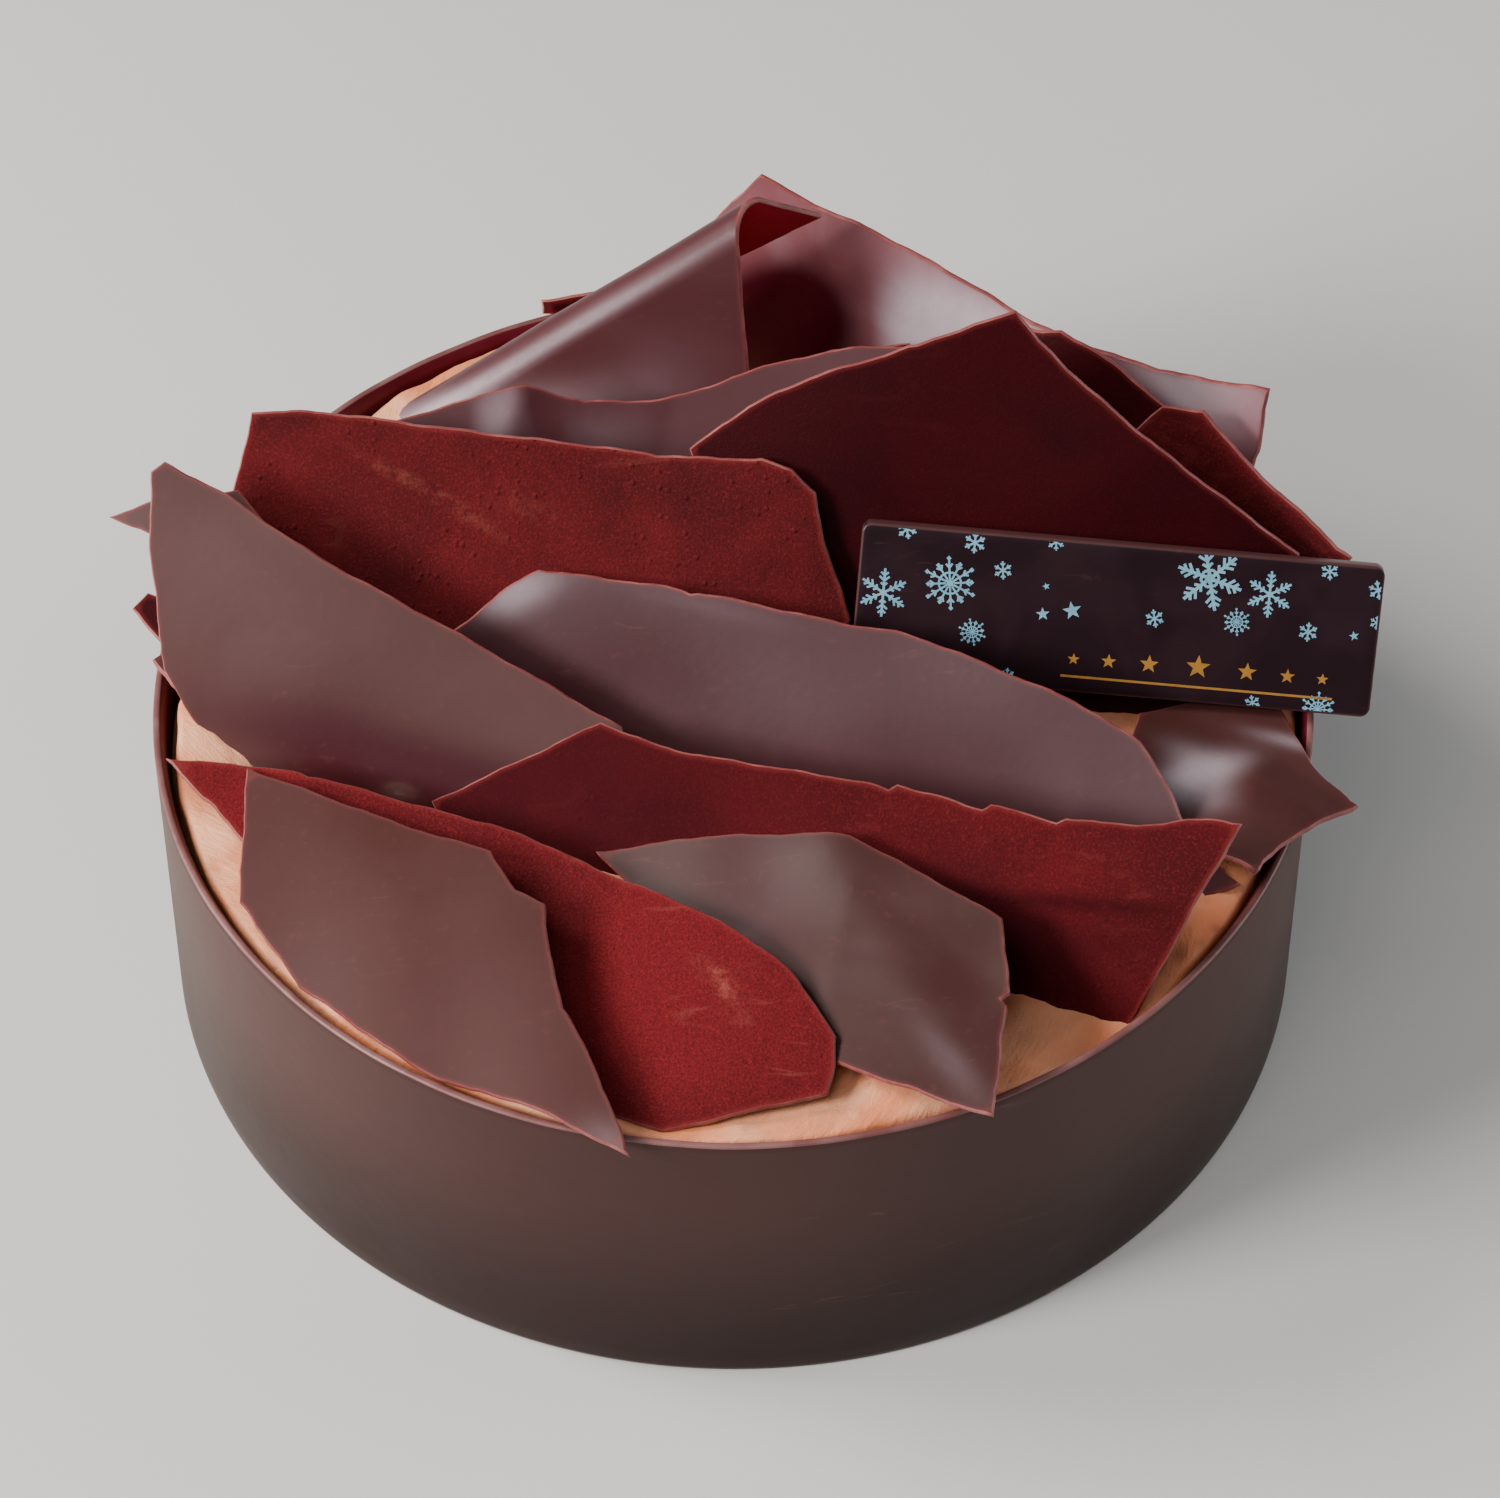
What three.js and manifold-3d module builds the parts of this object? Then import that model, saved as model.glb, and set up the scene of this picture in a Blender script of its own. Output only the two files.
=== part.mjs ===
// A round chocolate cake: a thin chocolate ring filled with cream, with broken chocolate sheets and a
// small plaque standing in the cream. Millimetres, +Z up, the front towards -Y, the base centre at 0, 0, 0.
import * as THREE from 'three';
import { TessellateModifier } from 'three/addons/modifiers/TessellateModifier.js';
import { mergeVertices } from 'three/addons/utils/BufferGeometryUtils.js';
import Module from 'manifold-3d';

const wasm = await Module();
wasm.setup();
const { Manifold, Mesh } = wasm;

const cakeRadius = 75;        // a 15 cm ring
const ringHeight = 46;
const ringWall = 1.5;
const clearance = 0.3;
const creamTop = 43;
const sheetThickness = 1.1;
const sectors = 72;

const radians = THREE.MathUtils.degToRad;
const brown = new THREE.MeshStandardMaterial({ color: 0x5e3a36, roughness: 0.42, metalness: 0 });
const red = new THREE.MeshStandardMaterial({ color: 0x6e0f12, roughness: 0.85, metalness: 0 });
const ringBrown = new THREE.MeshStandardMaterial({ color: 0x5a3b34, roughness: 0.5, metalness: 0 });
const cream = new THREE.MeshStandardMaterial({ color: 0xd9a07c, roughness: 0.6, metalness: 0 });
const dark = new THREE.MeshStandardMaterial({ color: 0x1d0f10, roughness: 0.3, metalness: 0 });

// Turns a profile of [radius, z] points round the Z axis. A point on the axis becomes a single vertex,
// and a profile that starts or ends off the axis is joined up into a ring. moved(r, angle, z) may shift a point.
function revolve(profile, moved = (r, angle, z) => [r, z]) {
  const position = [], index = [], rows = [];
  for (const [r, z] of profile) {
    const row = [];
    const count = r === 0 ? 1 : sectors;
    for (let k = 0; k < count; k++) {
      const angle = (2 * Math.PI * k) / sectors;
      const [radius, height] = moved(r, angle, z);
      row.push(position.length / 3);
      position.push(radius * Math.cos(angle), radius * Math.sin(angle), height);
    }
    rows.push(row);
  }
  const closed = profile[0][0] !== 0;
  for (let i = 0; i < rows.length - (closed ? 0 : 1); i++) {
    const a = rows[i], b = rows[(i + 1) % rows.length];
    for (let k = 0; k < sectors; k++) {
      const n = (k + 1) % sectors;
      if (a.length === 1) index.push(a[0], b[n], b[k]);
      else if (b.length === 1) index.push(a[k], a[n], b[0]);
      else index.push(a[k], a[n], b[n], a[k], b[n], b[k]);
    }
  }
  return new THREE.BufferGeometry()
    .setAttribute('position', new THREE.Float32BufferAttribute(position, 3))
    .setIndex(index);
}

function solidOf(geometry, matrix = new THREE.Matrix4()) {
  const plain = new THREE.BufferGeometry().setAttribute('position', geometry.getAttribute('position').clone());
  if (geometry.index) plain.setIndex(geometry.index);
  const merged = mergeVertices(plain.applyMatrix4(matrix), 1e-4);
  return new Manifold(new Mesh({
    numProp: 3,
    vertProperties: merged.attributes.position.array,
    triVerts: new Uint32Array(merged.index.array),
  }));
}

function geometryOf(solid) {
  const mesh = solid.getMesh();
  const position = new Float32Array(mesh.numVert * 3);
  for (let i = 0; i < mesh.numVert; i++)
    position.set(mesh.vertProperties.subarray(i * mesh.numProp, i * mesh.numProp + 3), i * 3);
  return new THREE.BufferGeometry()
    .setAttribute('position', new THREE.BufferAttribute(position, 3))
    .setIndex(new THREE.BufferAttribute(new Uint32Array(mesh.triVerts), 1));
}

// How far a sheet leaves its own plane at (u, v), as a sum of simple terms.
const softDistance = (d, soft) => Math.sqrt(d * d + soft * soft) - soft;
const bends = {
  // a roll about a line: direction in degrees, where it is flat, radius (negative curls away)
  curl: (u, v, { along, centre, radius }) => {
    const q = u * Math.cos(radians(along)) + v * Math.sin(radians(along)) - centre;
    return (q * q) / (2 * radius);
  },
  // a crease through a point
  fold: (u, v, { at, along, slope, soft }) => {
    const q = -(u - at[0]) * Math.sin(radians(along)) + (v - at[1]) * Math.cos(radians(along));
    return slope * softDistance(q, soft);
  },
  // a pointed rise
  cone: (u, v, { at, reach, height }) =>
    height * Math.max(0, 1 - Math.sqrt((u - at[0]) ** 2 + (v - at[1]) ** 2 + 1) / reach),
  // a soft rise
  dent: (u, v, { at, reach, height }) =>
    height * Math.exp(-((u - at[0]) ** 2 + (v - at[1]) ** 2) / (2 * reach * reach)),
};
const bendAt = (terms, u, v) => terms.reduce((w, [kind, sizes]) => w + bends[kind](u, v, sizes), 0);

// The outline moved outwards by a distance, corner by corner.
function grown(outline, distance) {
  const turns = THREE.ShapeUtils.area(outline.map(([u, v]) => new THREE.Vector2(u, v))) > 0 ? 1 : -1;
  return outline.map(([u, v], i) => {
    const [pu, pv] = outline[(i + outline.length - 1) % outline.length];
    const [nu, nv] = outline[(i + 1) % outline.length];
    const before = new THREE.Vector2(u - pu, v - pv).normalize();
    const after = new THREE.Vector2(nu - u, nv - v).normalize();
    const out = new THREE.Vector2(before.y + after.y, -before.x - after.x).multiplyScalar(turns).normalize();
    const share = Math.max(0.5, out.dot(new THREE.Vector2(after.y, -after.x).multiplyScalar(turns)));
    return [u + (out.x * distance) / share, v + (out.y * distance) / share];
  });
}

function sheetGeometry(outline, terms, thickness, spacing) {
  const shape = new THREE.Shape(outline.map(([u, v]) => new THREE.Vector2(u, v)));
  let geometry = new THREE.ExtrudeGeometry(shape, { depth: thickness, bevelEnabled: false, steps: 1 });
  geometry.translate(0, 0, -thickness / 2);
  geometry.deleteAttribute('normal');
  geometry.deleteAttribute('uv');
  geometry = new TessellateModifier(spacing, 14).modify(geometry);
  const position = geometry.getAttribute('position');
  for (let i = 0; i < position.count; i++)
    position.setZ(i, position.getZ(i) + bendAt(terms, position.getX(i), position.getY(i)));
  return mergeVertices(geometry, 1e-4);
}

// Broken sheets. foot is where the base line starts, turn is [heading, roll, lean] in degrees, and the
// outline is in the sheet's own plane: u along the base line, v up the slope.
const sheets = {
  front_left_sheet: {
    foot: [-53, -50, 46.2], turn: [-33, -3.5, 16], look: brown,
    outline: [[-1, 0], [22, -3], [33, -1.5], [49, -1.5], [40.5, 5.5], [29, 14], [24.5, 19], [21.5, 23],
      [17, 23], [11, 26.5], [-2, 25], [-25, 23.5], [-14.5, 6.5]],
    bend: [['curl', { along: 0, centre: 14, radius: -900 }], ['curl', { along: 90, centre: 12, radius: -150 }]],
  },
  front_red_sheet: {
    foot: [-72, -12, 45.8], turn: [-43, 1, 14], look: red,
    outline: [[1, -1], [16, -3], [29, -5], [51.5, -6.5], [73.5, -4.5], [87, -1], [100, 15], [99, 17.5],
      [95.5, 21.5], [91, 23.5], [83.5, 25.5], [70, 25], [56, 22], [44.5, 19.5], [32.5, 15], [16, 8.5], [9, 4.5]],
    bend: [['curl', { along: 0, centre: 60, radius: 600 }], ['curl', { along: 90, centre: 8, radius: 200 }]],
  },
  crumpled_sheet: {
    foot: [-17, -28.5, 47.7], turn: [-43, -1, 21], look: brown,
    outline: [[-1, 0], [20.5, -4], [44.5, -5.5], [56, -2.5], [66, 0.5], [61.5, 7], [53.5, 17.5], [49, 22],
      [33.5, 20.5], [26.5, 19.5], [19.5, 15.5], [9.5, 9]],
    bend: [['fold', { at: [28, 16], along: -22, slope: -0.07, soft: 1.5 }], ['dent', { at: [27, 17], reach: 5, height: 1.2 }]],
  },
  creased_red_sheet: {
    foot: [-39, -18, 43], turn: [-23, 0, 50], look: red,
    outline: [[0, 1], [18.5, 17], [27, 16.5], [44, 18.5], [56, 20], [70, 21.5], [83, 23.5], [98, 28.5],
      [101.5, 29], [98.5, 17.5], [92.5, -1.5], [89, -3.5], [60, -3], [4, -3]],
    bend: [['fold', { at: [98, 18], along: 12, slope: -0.22, soft: 1.5 }]],
  },
  tall_left_sheet: {
    foot: [-67, -8.5, 43], turn: [-12, 0, 52], look: brown,
    outline: [[0, -0.5], [-8, 10], [-9.5, 17.5], [-11.5, 26.5], [-12.5, 35], [-11, 36.5], [-2.5, 33.5],
      [8, 28.5], [29, 20.5], [52, 11.5], [60, -3], [1, -3]],
    bend: [['curl', { along: 68, centre: 14, radius: -60 }]],
  },
  middle_sheet: {
    foot: [-36, 5.5, 46], turn: [-23, 2, 50], look: brown,
    outline: [[-0.5, 4], [6, 13], [8, 15], [29, 18.5], [49, 20.5], [56, 21.5], [69.5, 21], [81, 20],
      [89.5, 18], [94, 14.5], [98, 10], [96, -4], [6, -6]],
    bend: [['curl', { along: 90, centre: 8, radius: -90 }], ['curl', { along: 0, centre: 60, radius: 600 }]],
  },
  left_red_sheet: {
    foot: [-62, 8, 43], turn: [-10, 0, 50], look: red,
    outline: [[-4, 32.5], [3.5, 33.5], [19.5, 33.5], [36.5, 33.5], [52.5, 33.5], [63, 34.5], [67, 33.5], [70.5, 31],
      [72, 25], [75, 19], [76.5, 15], [70, -3], [10, -3], [-6, 21], [-4.5, 27.5]],
    bend: [['curl', { along: 90, centre: 14, radius: 260 }]],
  },
  peak_red_sheet: {
    foot: [0, 3.4, 43], turn: [-5, 0, 59], look: red,
    outline: [[-7, 31], [-0.5, 36.5], [7, 41], [19.5, 46], [34, 52], [38, 47.5], [49.5, 38], [72, 22],
      [64, -3], [6, -3]],
    bend: [['curl', { along: 0, centre: 40, radius: -700 }]],
  },
  rear_left_sheet: {
    foot: [-42, 20, 43], turn: [0, 0, 45], look: brown,
    outline: [[-2, 23], [6.5, 25.5], [11.5, 27], [15, 27.5], [20.5, 26], [30, 25.5], [38, 27], [43, 29],
      [59, 32.5], [65, 32.5], [58, -3], [10, -3]],
    bend: [['cone', { at: [14, 26], reach: 20, height: 2.5 }], ['curl', { along: 0, centre: 45, radius: 300 }]],
  },
  rear_red_sliver: {
    foot: [4, 25.5, 43], turn: [1, 0, 46], look: red,
    outline: [[-0.5, 25], [4, 26.5], [12, 28.5], [14, 28.5], [20, 29], [28, 16], [24, -3], [4, -3]],
    bend: [],
  },
  rear_red_sheet: {
    foot: [24, 29, 43], turn: [-22, 0, 62], look: red,
    outline: [[5.5, 33.5], [10.5, 33], [14, 34], [19.5, 32.5], [29.5, 28], [32.5, 24], [40, -3], [6, -3]],
    bend: [['curl', { along: 0, centre: 22, radius: -260 }]],
  },
  right_red_sheet: {
    foot: [42.6, 19.2, 43], turn: [-30, 0, 61], look: red,
    outline: [[3.5, 24.5], [7, 30], [12.5, 31.5], [17.5, 28.5], [37, 20], [32.5, 6.5], [32, -3], [8, -3]],
    bend: [['curl', { along: 0, centre: 20, radius: -300 }]],
  },
  tall_rear_sheet: {
    foot: [2, 62, 43], turn: [-30.5, 0, 76], look: brown,
    outline: [[-1.5, 31.5], [4.5, 30], [14.5, 29], [33, 26], [41.5, 24.5], [60.5, 26], [75.5, 30], [75.5, 18],
      [70, -3], [-6, -3], [-14, 11], [-8.5, 20]],
    bend: [['curl', { along: 0, centre: 30, radius: 420 }]],
  },
  right_rim_sheet: {
    foot: [64, -34, 47.2], turn: [-40, 0, -4], look: brown,
    outline: [[2, 0], [1.5, 4], [1.5, 9.5], [3.5, 19.5], [-5, 21], [-14.5, 27.5], [-19.5, 26], [-27.5, 14.5],
      [-23.5, 7.5], [-11.5, 2], [-4.5, 0]],
    bend: [['cone', { at: [-9, 14], reach: 15, height: 3.5 }]],
  },
  right_small_chip: {
    foot: [55, -38, 44], turn: [-10, 0, 12], look: brown,
    outline: [[7.5, 6.5], [4, 9.5], [1, 9], [0, 3], [1.5, 2.5]],
    bend: [],
  },
  left_brown_tip: {
    foot: [-78, -2, 43], turn: [-10, 0, 40], look: brown,
    outline: [[-6.5, 25.5], [-1.5, 28], [10, 31], [24, 18.5], [30, -1], [16, -1], [6, 21.5], [-1, 24]],
    bend: [],
  },
  left_red_chip: {
    foot: [-78, 12, 48.4], turn: [-30, 8, 18], look: red,
    outline: [[-0.5, 0], [0, 3], [6.5, 5], [12.5, 0], [5, -2]],
    bend: [],
  },
  left_brown_chip: {
    foot: [-77, 4, 47.4], turn: [-30, 4, 2], look: brown,
    outline: [[1.5, 1], [2, 2.5], [6.5, 2], [11.5, -2], [6.5, -1.5], [5, -1]],
    bend: [],
  },
  rear_red_chip: {
    foot: [-26, 68, 47], turn: [8, 0, 62], look: red,
    outline: [[0, 3], [10.5, 3.5], [18, 7], [16, 1], [8, 0.5], [0, 1]],
    bend: [],
  },
};

// The sheet that is folded back over itself: u runs along the fold, s down from it, front or back.
const fold = {
  start: new THREE.Vector3(-45.7, 53.1, 43),
  end: new THREE.Vector3(1.4, 49.3, 84),
  radius: 3,
  flapAngle: 46,
  front: [[0, 0], [12, 10], [30, 29], [38.5, 34.5], [49.5, 19], [56, 9.5], [62.6, 0]],
  back: [[0, 0], [22, 8], [52, 14.5], [64.5, 16.5], [64.2, 3.4], [62.6, 0]],
};

function foldFrame() {
  const along = fold.end.clone().sub(fold.start).normalize();
  const up = new THREE.Vector3(-0.658, -0.076, 0.749);
  up.addScaledVector(along, -up.dot(along)).normalize();
  const side = up.clone().cross(along);
  return new THREE.Matrix4().makeBasis(along, side, up).setPosition(fold.start);
}

// The fold's cross-section: s is the distance along the sheet from the top of the fold, offset is across it.
function foldSection(s, offset) {
  const turn = radians(180 - fold.flapAngle) / 2;
  const arc = fold.radius * turn;
  const bent = Math.min(Math.abs(s), arc) / fold.radius;
  const rest = Math.max(0, Math.abs(s) - arc);
  const sign = Math.sign(s);
  const r = fold.radius + offset;
  return [sign * (r * Math.sin(bent) + rest * Math.cos(bent)),
    r * Math.cos(bent) - fold.radius - rest * Math.sin(bent)];
}

function reachAt(edge, u) {
  for (let i = 0; i + 1 < edge.length; i++) {
    const [u0, s0] = edge[i], [u1, s1] = edge[i + 1];
    if (u >= u0 && u <= u1 && u1 > u0) return s0 + ((s1 - s0) * (u - u0)) / (u1 - u0);
  }
  return 0;
}

// A grid of stations along the fold, each running from the back edge over the fold to the front edge.
function foldedGeometry(thickness, extra) {
  const stations = 16, across = 16;
  const length = fold.end.clone().sub(fold.start).length();
  const arc = fold.radius * radians(180 - fold.flapAngle) / 2;
  const position = [], index = [];
  const columns = across + 1;
  for (const offset of [thickness / 2, -thickness / 2])
    for (let i = 0; i <= stations; i++) {
      const u = -extra + ((length + 2 * extra) * i) / stations;
      const inside = Math.min(Math.max(u, 0), length);
      const down = Math.max(reachAt(fold.front, inside), 0.6) + extra;
      const behind = Math.max(reachAt(fold.back, inside), 0.6) + extra;
      for (let k = 0; k <= across; k++) {
        const share = (2 * k) / across - 1;
        const limit = share < 0 ? behind : down;
        const near = Math.min(arc, limit);
        const bit = Math.abs(share);
        const s = Math.sign(share) * (bit < 0.6 ? (near * bit) / 0.6 : near + ((limit - near) * (bit - 0.6)) / 0.4);
        const [y, z] = foldSection(-s, offset);
        position.push(u, y, z);
      }
    }
  const half = (stations + 1) * columns;
  const at = (layer, i, k) => layer * half + i * columns + k;
  const quad = (a, b, c, d) => index.push(a, b, c, a, c, d);
  for (let i = 0; i < stations; i++)
    for (let k = 0; k < across; k++) {
      quad(at(0, i, k), at(0, i, k + 1), at(0, i + 1, k + 1), at(0, i + 1, k));
      quad(at(1, i, k), at(1, i + 1, k), at(1, i + 1, k + 1), at(1, i, k + 1));
    }
  for (let i = 0; i < stations; i++) {
    quad(at(0, i, 0), at(0, i + 1, 0), at(1, i + 1, 0), at(1, i, 0));
    quad(at(0, i, across), at(1, i, across), at(1, i + 1, across), at(0, i + 1, across));
  }
  for (let k = 0; k < across; k++) {
    quad(at(0, 0, k), at(1, 0, k), at(1, 0, k + 1), at(0, 0, k + 1));
    quad(at(0, stations, k), at(0, stations, k + 1), at(1, stations, k + 1), at(1, stations, k));
  }
  return new THREE.BufferGeometry()
    .setAttribute('position', new THREE.Float32BufferAttribute(position, 3))
    .setIndex(index);
}

// The plaque: a rounded slab.
const plaque = { foot: [15, -1.3, 50.5], turn: [-4.7, 2.6, 58.1], width: 67, height: 20, thickness: 2.6, corner: 1.2, edge: 0.4 };

function plaqueGeometry() {
  const { width, height, corner, thickness, edge } = plaque;
  const shape = new THREE.Shape();
  const x0 = edge, y0 = edge, x1 = width - edge, y1 = height - edge, r = corner;
  shape.moveTo(x0 + r, y0).lineTo(x1 - r, y0).absarc(x1 - r, y0 + r, r, -Math.PI / 2, 0)
    .lineTo(x1, y1 - r).absarc(x1 - r, y1 - r, r, 0, Math.PI / 2)
    .lineTo(x0 + r, y1).absarc(x0 + r, y1 - r, r, Math.PI / 2, Math.PI)
    .lineTo(x0, y0 + r).absarc(x0 + r, y0 + r, r, Math.PI, 1.5 * Math.PI);
  const geometry = new THREE.ExtrudeGeometry(shape, {
    depth: thickness - 2 * edge, bevelEnabled: true, bevelThickness: edge, bevelSize: edge, bevelSegments: 2, curveSegments: 5,
  });
  geometry.translate(0, 0, edge - thickness);
  return geometry;
}

// Cream: a solid disc whose shoulder draws back from the ring on the left and whose top keeps spatula strokes.
const creamRadius = cakeRadius - ringWall - clearance;
const shoulder = { tight: 1.2, wide: 3.4, depth: 3, towards: radians(165) };

function strokes(x, y) {
  const across = 0.24 * x + 0.15 * y + 0.9 * Math.sin(0.045 * (y - 0.4 * x));
  return 0.45 * Math.sin(across) + 0.22 * Math.sin(0.37 * y - 0.12 * x + 1.3);
}

function creamGeometry() {
  const rings = [14, 28, 41, 53, 63, 69];
  const steps = 3;
  const profile = [[0, 0], [36, 0], [creamRadius - 0.6, 0], [creamRadius, 0.6], [creamRadius, creamTop - shoulder.depth]];
  for (let i = 1; i <= steps; i++) profile.push([creamRadius - i / 1000, creamTop - shoulder.depth + i / 1000]);
  for (const r of [...rings].reverse()) profile.push([r, creamTop]);
  profile.push([0, creamTop]);
  return revolve(profile, (r, angle, z) => {
    const x = r * Math.cos(angle), y = r * Math.sin(angle);
    const open = (1 + Math.cos(angle - shoulder.towards)) / 2;
    const width = shoulder.tight + (shoulder.wide - shoulder.tight) * open * open;
    const step = Math.round((creamRadius - r) * 1000);
    if (r < creamRadius && step >= 1 && step <= steps) {
      const turn = (Math.PI / 2) * (step / steps);
      return [creamRadius - width * (1 - Math.cos(turn)), creamTop - shoulder.depth * (1 - Math.sin(turn))];
    }
    if (z < creamTop) return [r, z];
    return [r, z + strokes(x, y) * Math.min(1, (72 - r) / 6)];
  });
}

const ringProfile = [
  [cakeRadius - ringWall, 0], [cakeRadius - 0.7, 0], [cakeRadius - 0.2, 0.2], [cakeRadius, 0.8],
  [cakeRadius, ringHeight - 0.6], [cakeRadius - 0.3, ringHeight - 0.1], [cakeRadius - 0.75, ringHeight],
  [cakeRadius - ringWall + 0.3, ringHeight - 0.1], [cakeRadius - ringWall, ringHeight - 0.6],
];

const cake = new THREE.Group();
cake.name = 'chocolate_cake';

function place(mesh, foot, [heading, roll, lean]) {
  mesh.position.set(...foot);
  mesh.rotation.set(radians(lean), radians(roll), radians(heading), 'ZYX');
  mesh.updateMatrix();
  cake.add(mesh);
  return mesh;
}

function named(name, geometry, material) {
  const mesh = new THREE.Mesh(geometry, material);
  mesh.name = name;
  return mesh;
}

cake.add(named('ring', revolve(ringProfile), ringBrown));

let creamSolid = solidOf(creamGeometry());
for (const [name, sheet] of Object.entries(sheets)) {
  const mesh = place(named(name, sheetGeometry(sheet.outline, sheet.bend, sheetThickness, 12), sheet.look), sheet.foot, sheet.turn);
  const slot = sheetGeometry(grown(sheet.outline, clearance), sheet.bend, sheetThickness + 2 * clearance, 12);
  creamSolid = creamSolid.subtract(solidOf(slot, mesh.matrix));
}

const folded = named('folded_sheet', foldedGeometry(sheetThickness, 0), brown);
folded.applyMatrix4(foldFrame());
cake.add(folded);
creamSolid = creamSolid.subtract(solidOf(foldedGeometry(sheetThickness + 2 * clearance, clearance), foldFrame()));

place(named('plaque', plaqueGeometry(), dark), plaque.foot, plaque.turn);
cake.add(named('filling', geometryOf(creamSolid), cream));

export default cake;
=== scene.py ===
import math
import random
import bpy
import numpy as np
from mathutils import Matrix, Vector
from mathutils.geometry import delaunay_2d_cdt


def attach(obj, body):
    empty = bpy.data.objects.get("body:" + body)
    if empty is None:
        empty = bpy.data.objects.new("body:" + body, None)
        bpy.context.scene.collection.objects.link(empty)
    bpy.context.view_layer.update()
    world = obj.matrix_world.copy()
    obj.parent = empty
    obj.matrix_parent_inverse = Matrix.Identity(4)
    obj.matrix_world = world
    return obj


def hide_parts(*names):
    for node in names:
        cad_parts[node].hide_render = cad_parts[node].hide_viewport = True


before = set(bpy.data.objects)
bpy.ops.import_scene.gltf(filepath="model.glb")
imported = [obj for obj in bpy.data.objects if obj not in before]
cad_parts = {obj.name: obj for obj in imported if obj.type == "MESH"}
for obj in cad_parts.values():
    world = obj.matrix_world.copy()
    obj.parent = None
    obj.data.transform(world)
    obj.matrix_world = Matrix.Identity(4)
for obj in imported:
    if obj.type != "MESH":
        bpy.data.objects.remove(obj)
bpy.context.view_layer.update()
scene = bpy.context.scene
mm = 0.001

view = dict(
    place=(0.0, -0.4841, 0.5729),   # metres
    tilt=41.955, pan=-0.2587,       # degrees
    lens=132.6, sensor=36.0, nearest=0.01, farthest=20.0,
)

stage = dict(
    floor=(0.64, 0.63, 0.61), floorSize=6.0, floorRoughness=0.9, sky=(0.84, 0.88, 0.94), skyStrength=0.10,
    lights=[
        # name, place, aimed at, size, watts, colour
        ("keyLight", (-0.69, 0.12, 0.66), (0.0, 0.0, 0.05), 0.40, 8.0, (1.0, 0.96, 0.92)),
        ("sideLight", (-0.70, -0.36, 0.52), (0.0, 0.0, 0.06), 0.32, 10.2, (1.0, 0.97, 0.95)),
        ("rightFill", (0.72, 0.10, 0.34), (0.0, 0.0, 0.04), 0.50, 2.8, (0.96, 0.98, 1.0)),
        ("frontFill", (-0.22, -0.50, 0.88), (0.0, 0.0, 0.05), 0.60, 2.4, (1.0, 0.97, 0.95)),
    ],
)


def makeStage():
    eye = bpy.data.cameras.new("photoCamera")
    eye.lens = view["lens"]
    eye.sensor_width = view["sensor"]
    eye.clip_start, eye.clip_end = view["nearest"], view["farthest"]
    camera = bpy.data.objects.new("photoCamera", eye)
    camera.location = view["place"]
    camera.rotation_euler = (math.radians(view["tilt"]), 0.0, math.radians(view["pan"]))
    scene.collection.objects.link(camera)
    scene.camera = camera

    half = stage["floorSize"] / 2
    corners = [(-half, -half, 0), (half, -half, 0), (half, half, 0), (-half, half, 0)]
    mesh = bpy.data.meshes.new("floor")
    mesh.from_pydata(corners, [], [(0, 1, 2, 3)])
    floor = bpy.data.objects.new("floor", mesh)
    scene.collection.objects.link(floor)
    paint = bpy.data.materials.new("floorPaint")
    paint.use_nodes = True
    shader = paint.node_tree.nodes["Principled BSDF"]
    shader.inputs["Base Color"].default_value = (*stage["floor"], 1)
    shader.inputs["Roughness"].default_value = stage["floorRoughness"]
    mesh.materials.append(paint)

    world = bpy.data.worlds.new("studio")
    world.use_nodes = True
    sky = world.node_tree.nodes["Background"]
    sky.inputs["Color"].default_value = (*stage["sky"], 1)
    sky.inputs["Strength"].default_value = stage["skyStrength"]
    scene.world = world

    for name, place, aim, size, watts, colour in stage["lights"]:
        lamp = bpy.data.lights.new(name, "AREA")
        lamp.shape, lamp.size, lamp.energy, lamp.color = "DISK", size, watts, colour
        light = bpy.data.objects.new(name, lamp)
        light.location = place
        light.rotation_euler = (Vector(aim) - Vector(place)).to_track_quat("-Z", "Y").to_euler()
        scene.collection.objects.link(light)


makeStage()
print("stage made")


def srgb(red, green, blue):
    # a colour as a picture editor shows it, 0 to 255, made linear
    def linear(c):
        c /= 255
        return c / 12.92 if c <= 0.04045 else ((c + 0.055) / 1.055) ** 2.4
    return (linear(red), linear(green), linear(blue), 1.0)


def feed(tree, socket, value):
    # what varies is linked, and what is the same all over is set on the socket
    if isinstance(value, bpy.types.NodeSocket):
        tree.links.new(value, socket)
    else:
        socket.default_value = value


def node(tree, kind, settings=None, **inputs):
    # an input goes by its name, with _ for a space, or by its number, as i0
    made = tree.nodes.new(kind)
    for key, value in (settings or {}).items():
        setattr(made, key, value)
    for key, value in inputs.items():
        numbered = key[0] == "i" and key[1:].isdigit()
        feed(tree, made.inputs[int(key[1:]) if numbered else key.replace("_", " ")], value)
    return made


def maths(tree, operation, a, b=0.0, clamp=False):
    return node(tree, "ShaderNodeMath", dict(operation=operation, use_clamp=clamp), i0=a, i1=b).outputs[0]


def times(tree, a, b, clamp=False):
    return maths(tree, "MULTIPLY", a, b, clamp)


def plus(tree, a, b):
    return maths(tree, "ADD", a, b)


def mapped(tree, value, low, high, toLow=0.0, toHigh=1.0):
    made = node(tree, "ShaderNodeMapRange", dict(interpolation_type="SMOOTHSTEP"), Value=value,
                From_Min=low, From_Max=high, To_Min=toLow, To_Max=toHigh)
    return made.outputs["Result"]


def mixed(tree, share, a, b):
    return node(tree, "ShaderNodeMix", dict(data_type="RGBA"), i0=share, i6=a, i7=b).outputs[2]


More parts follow.
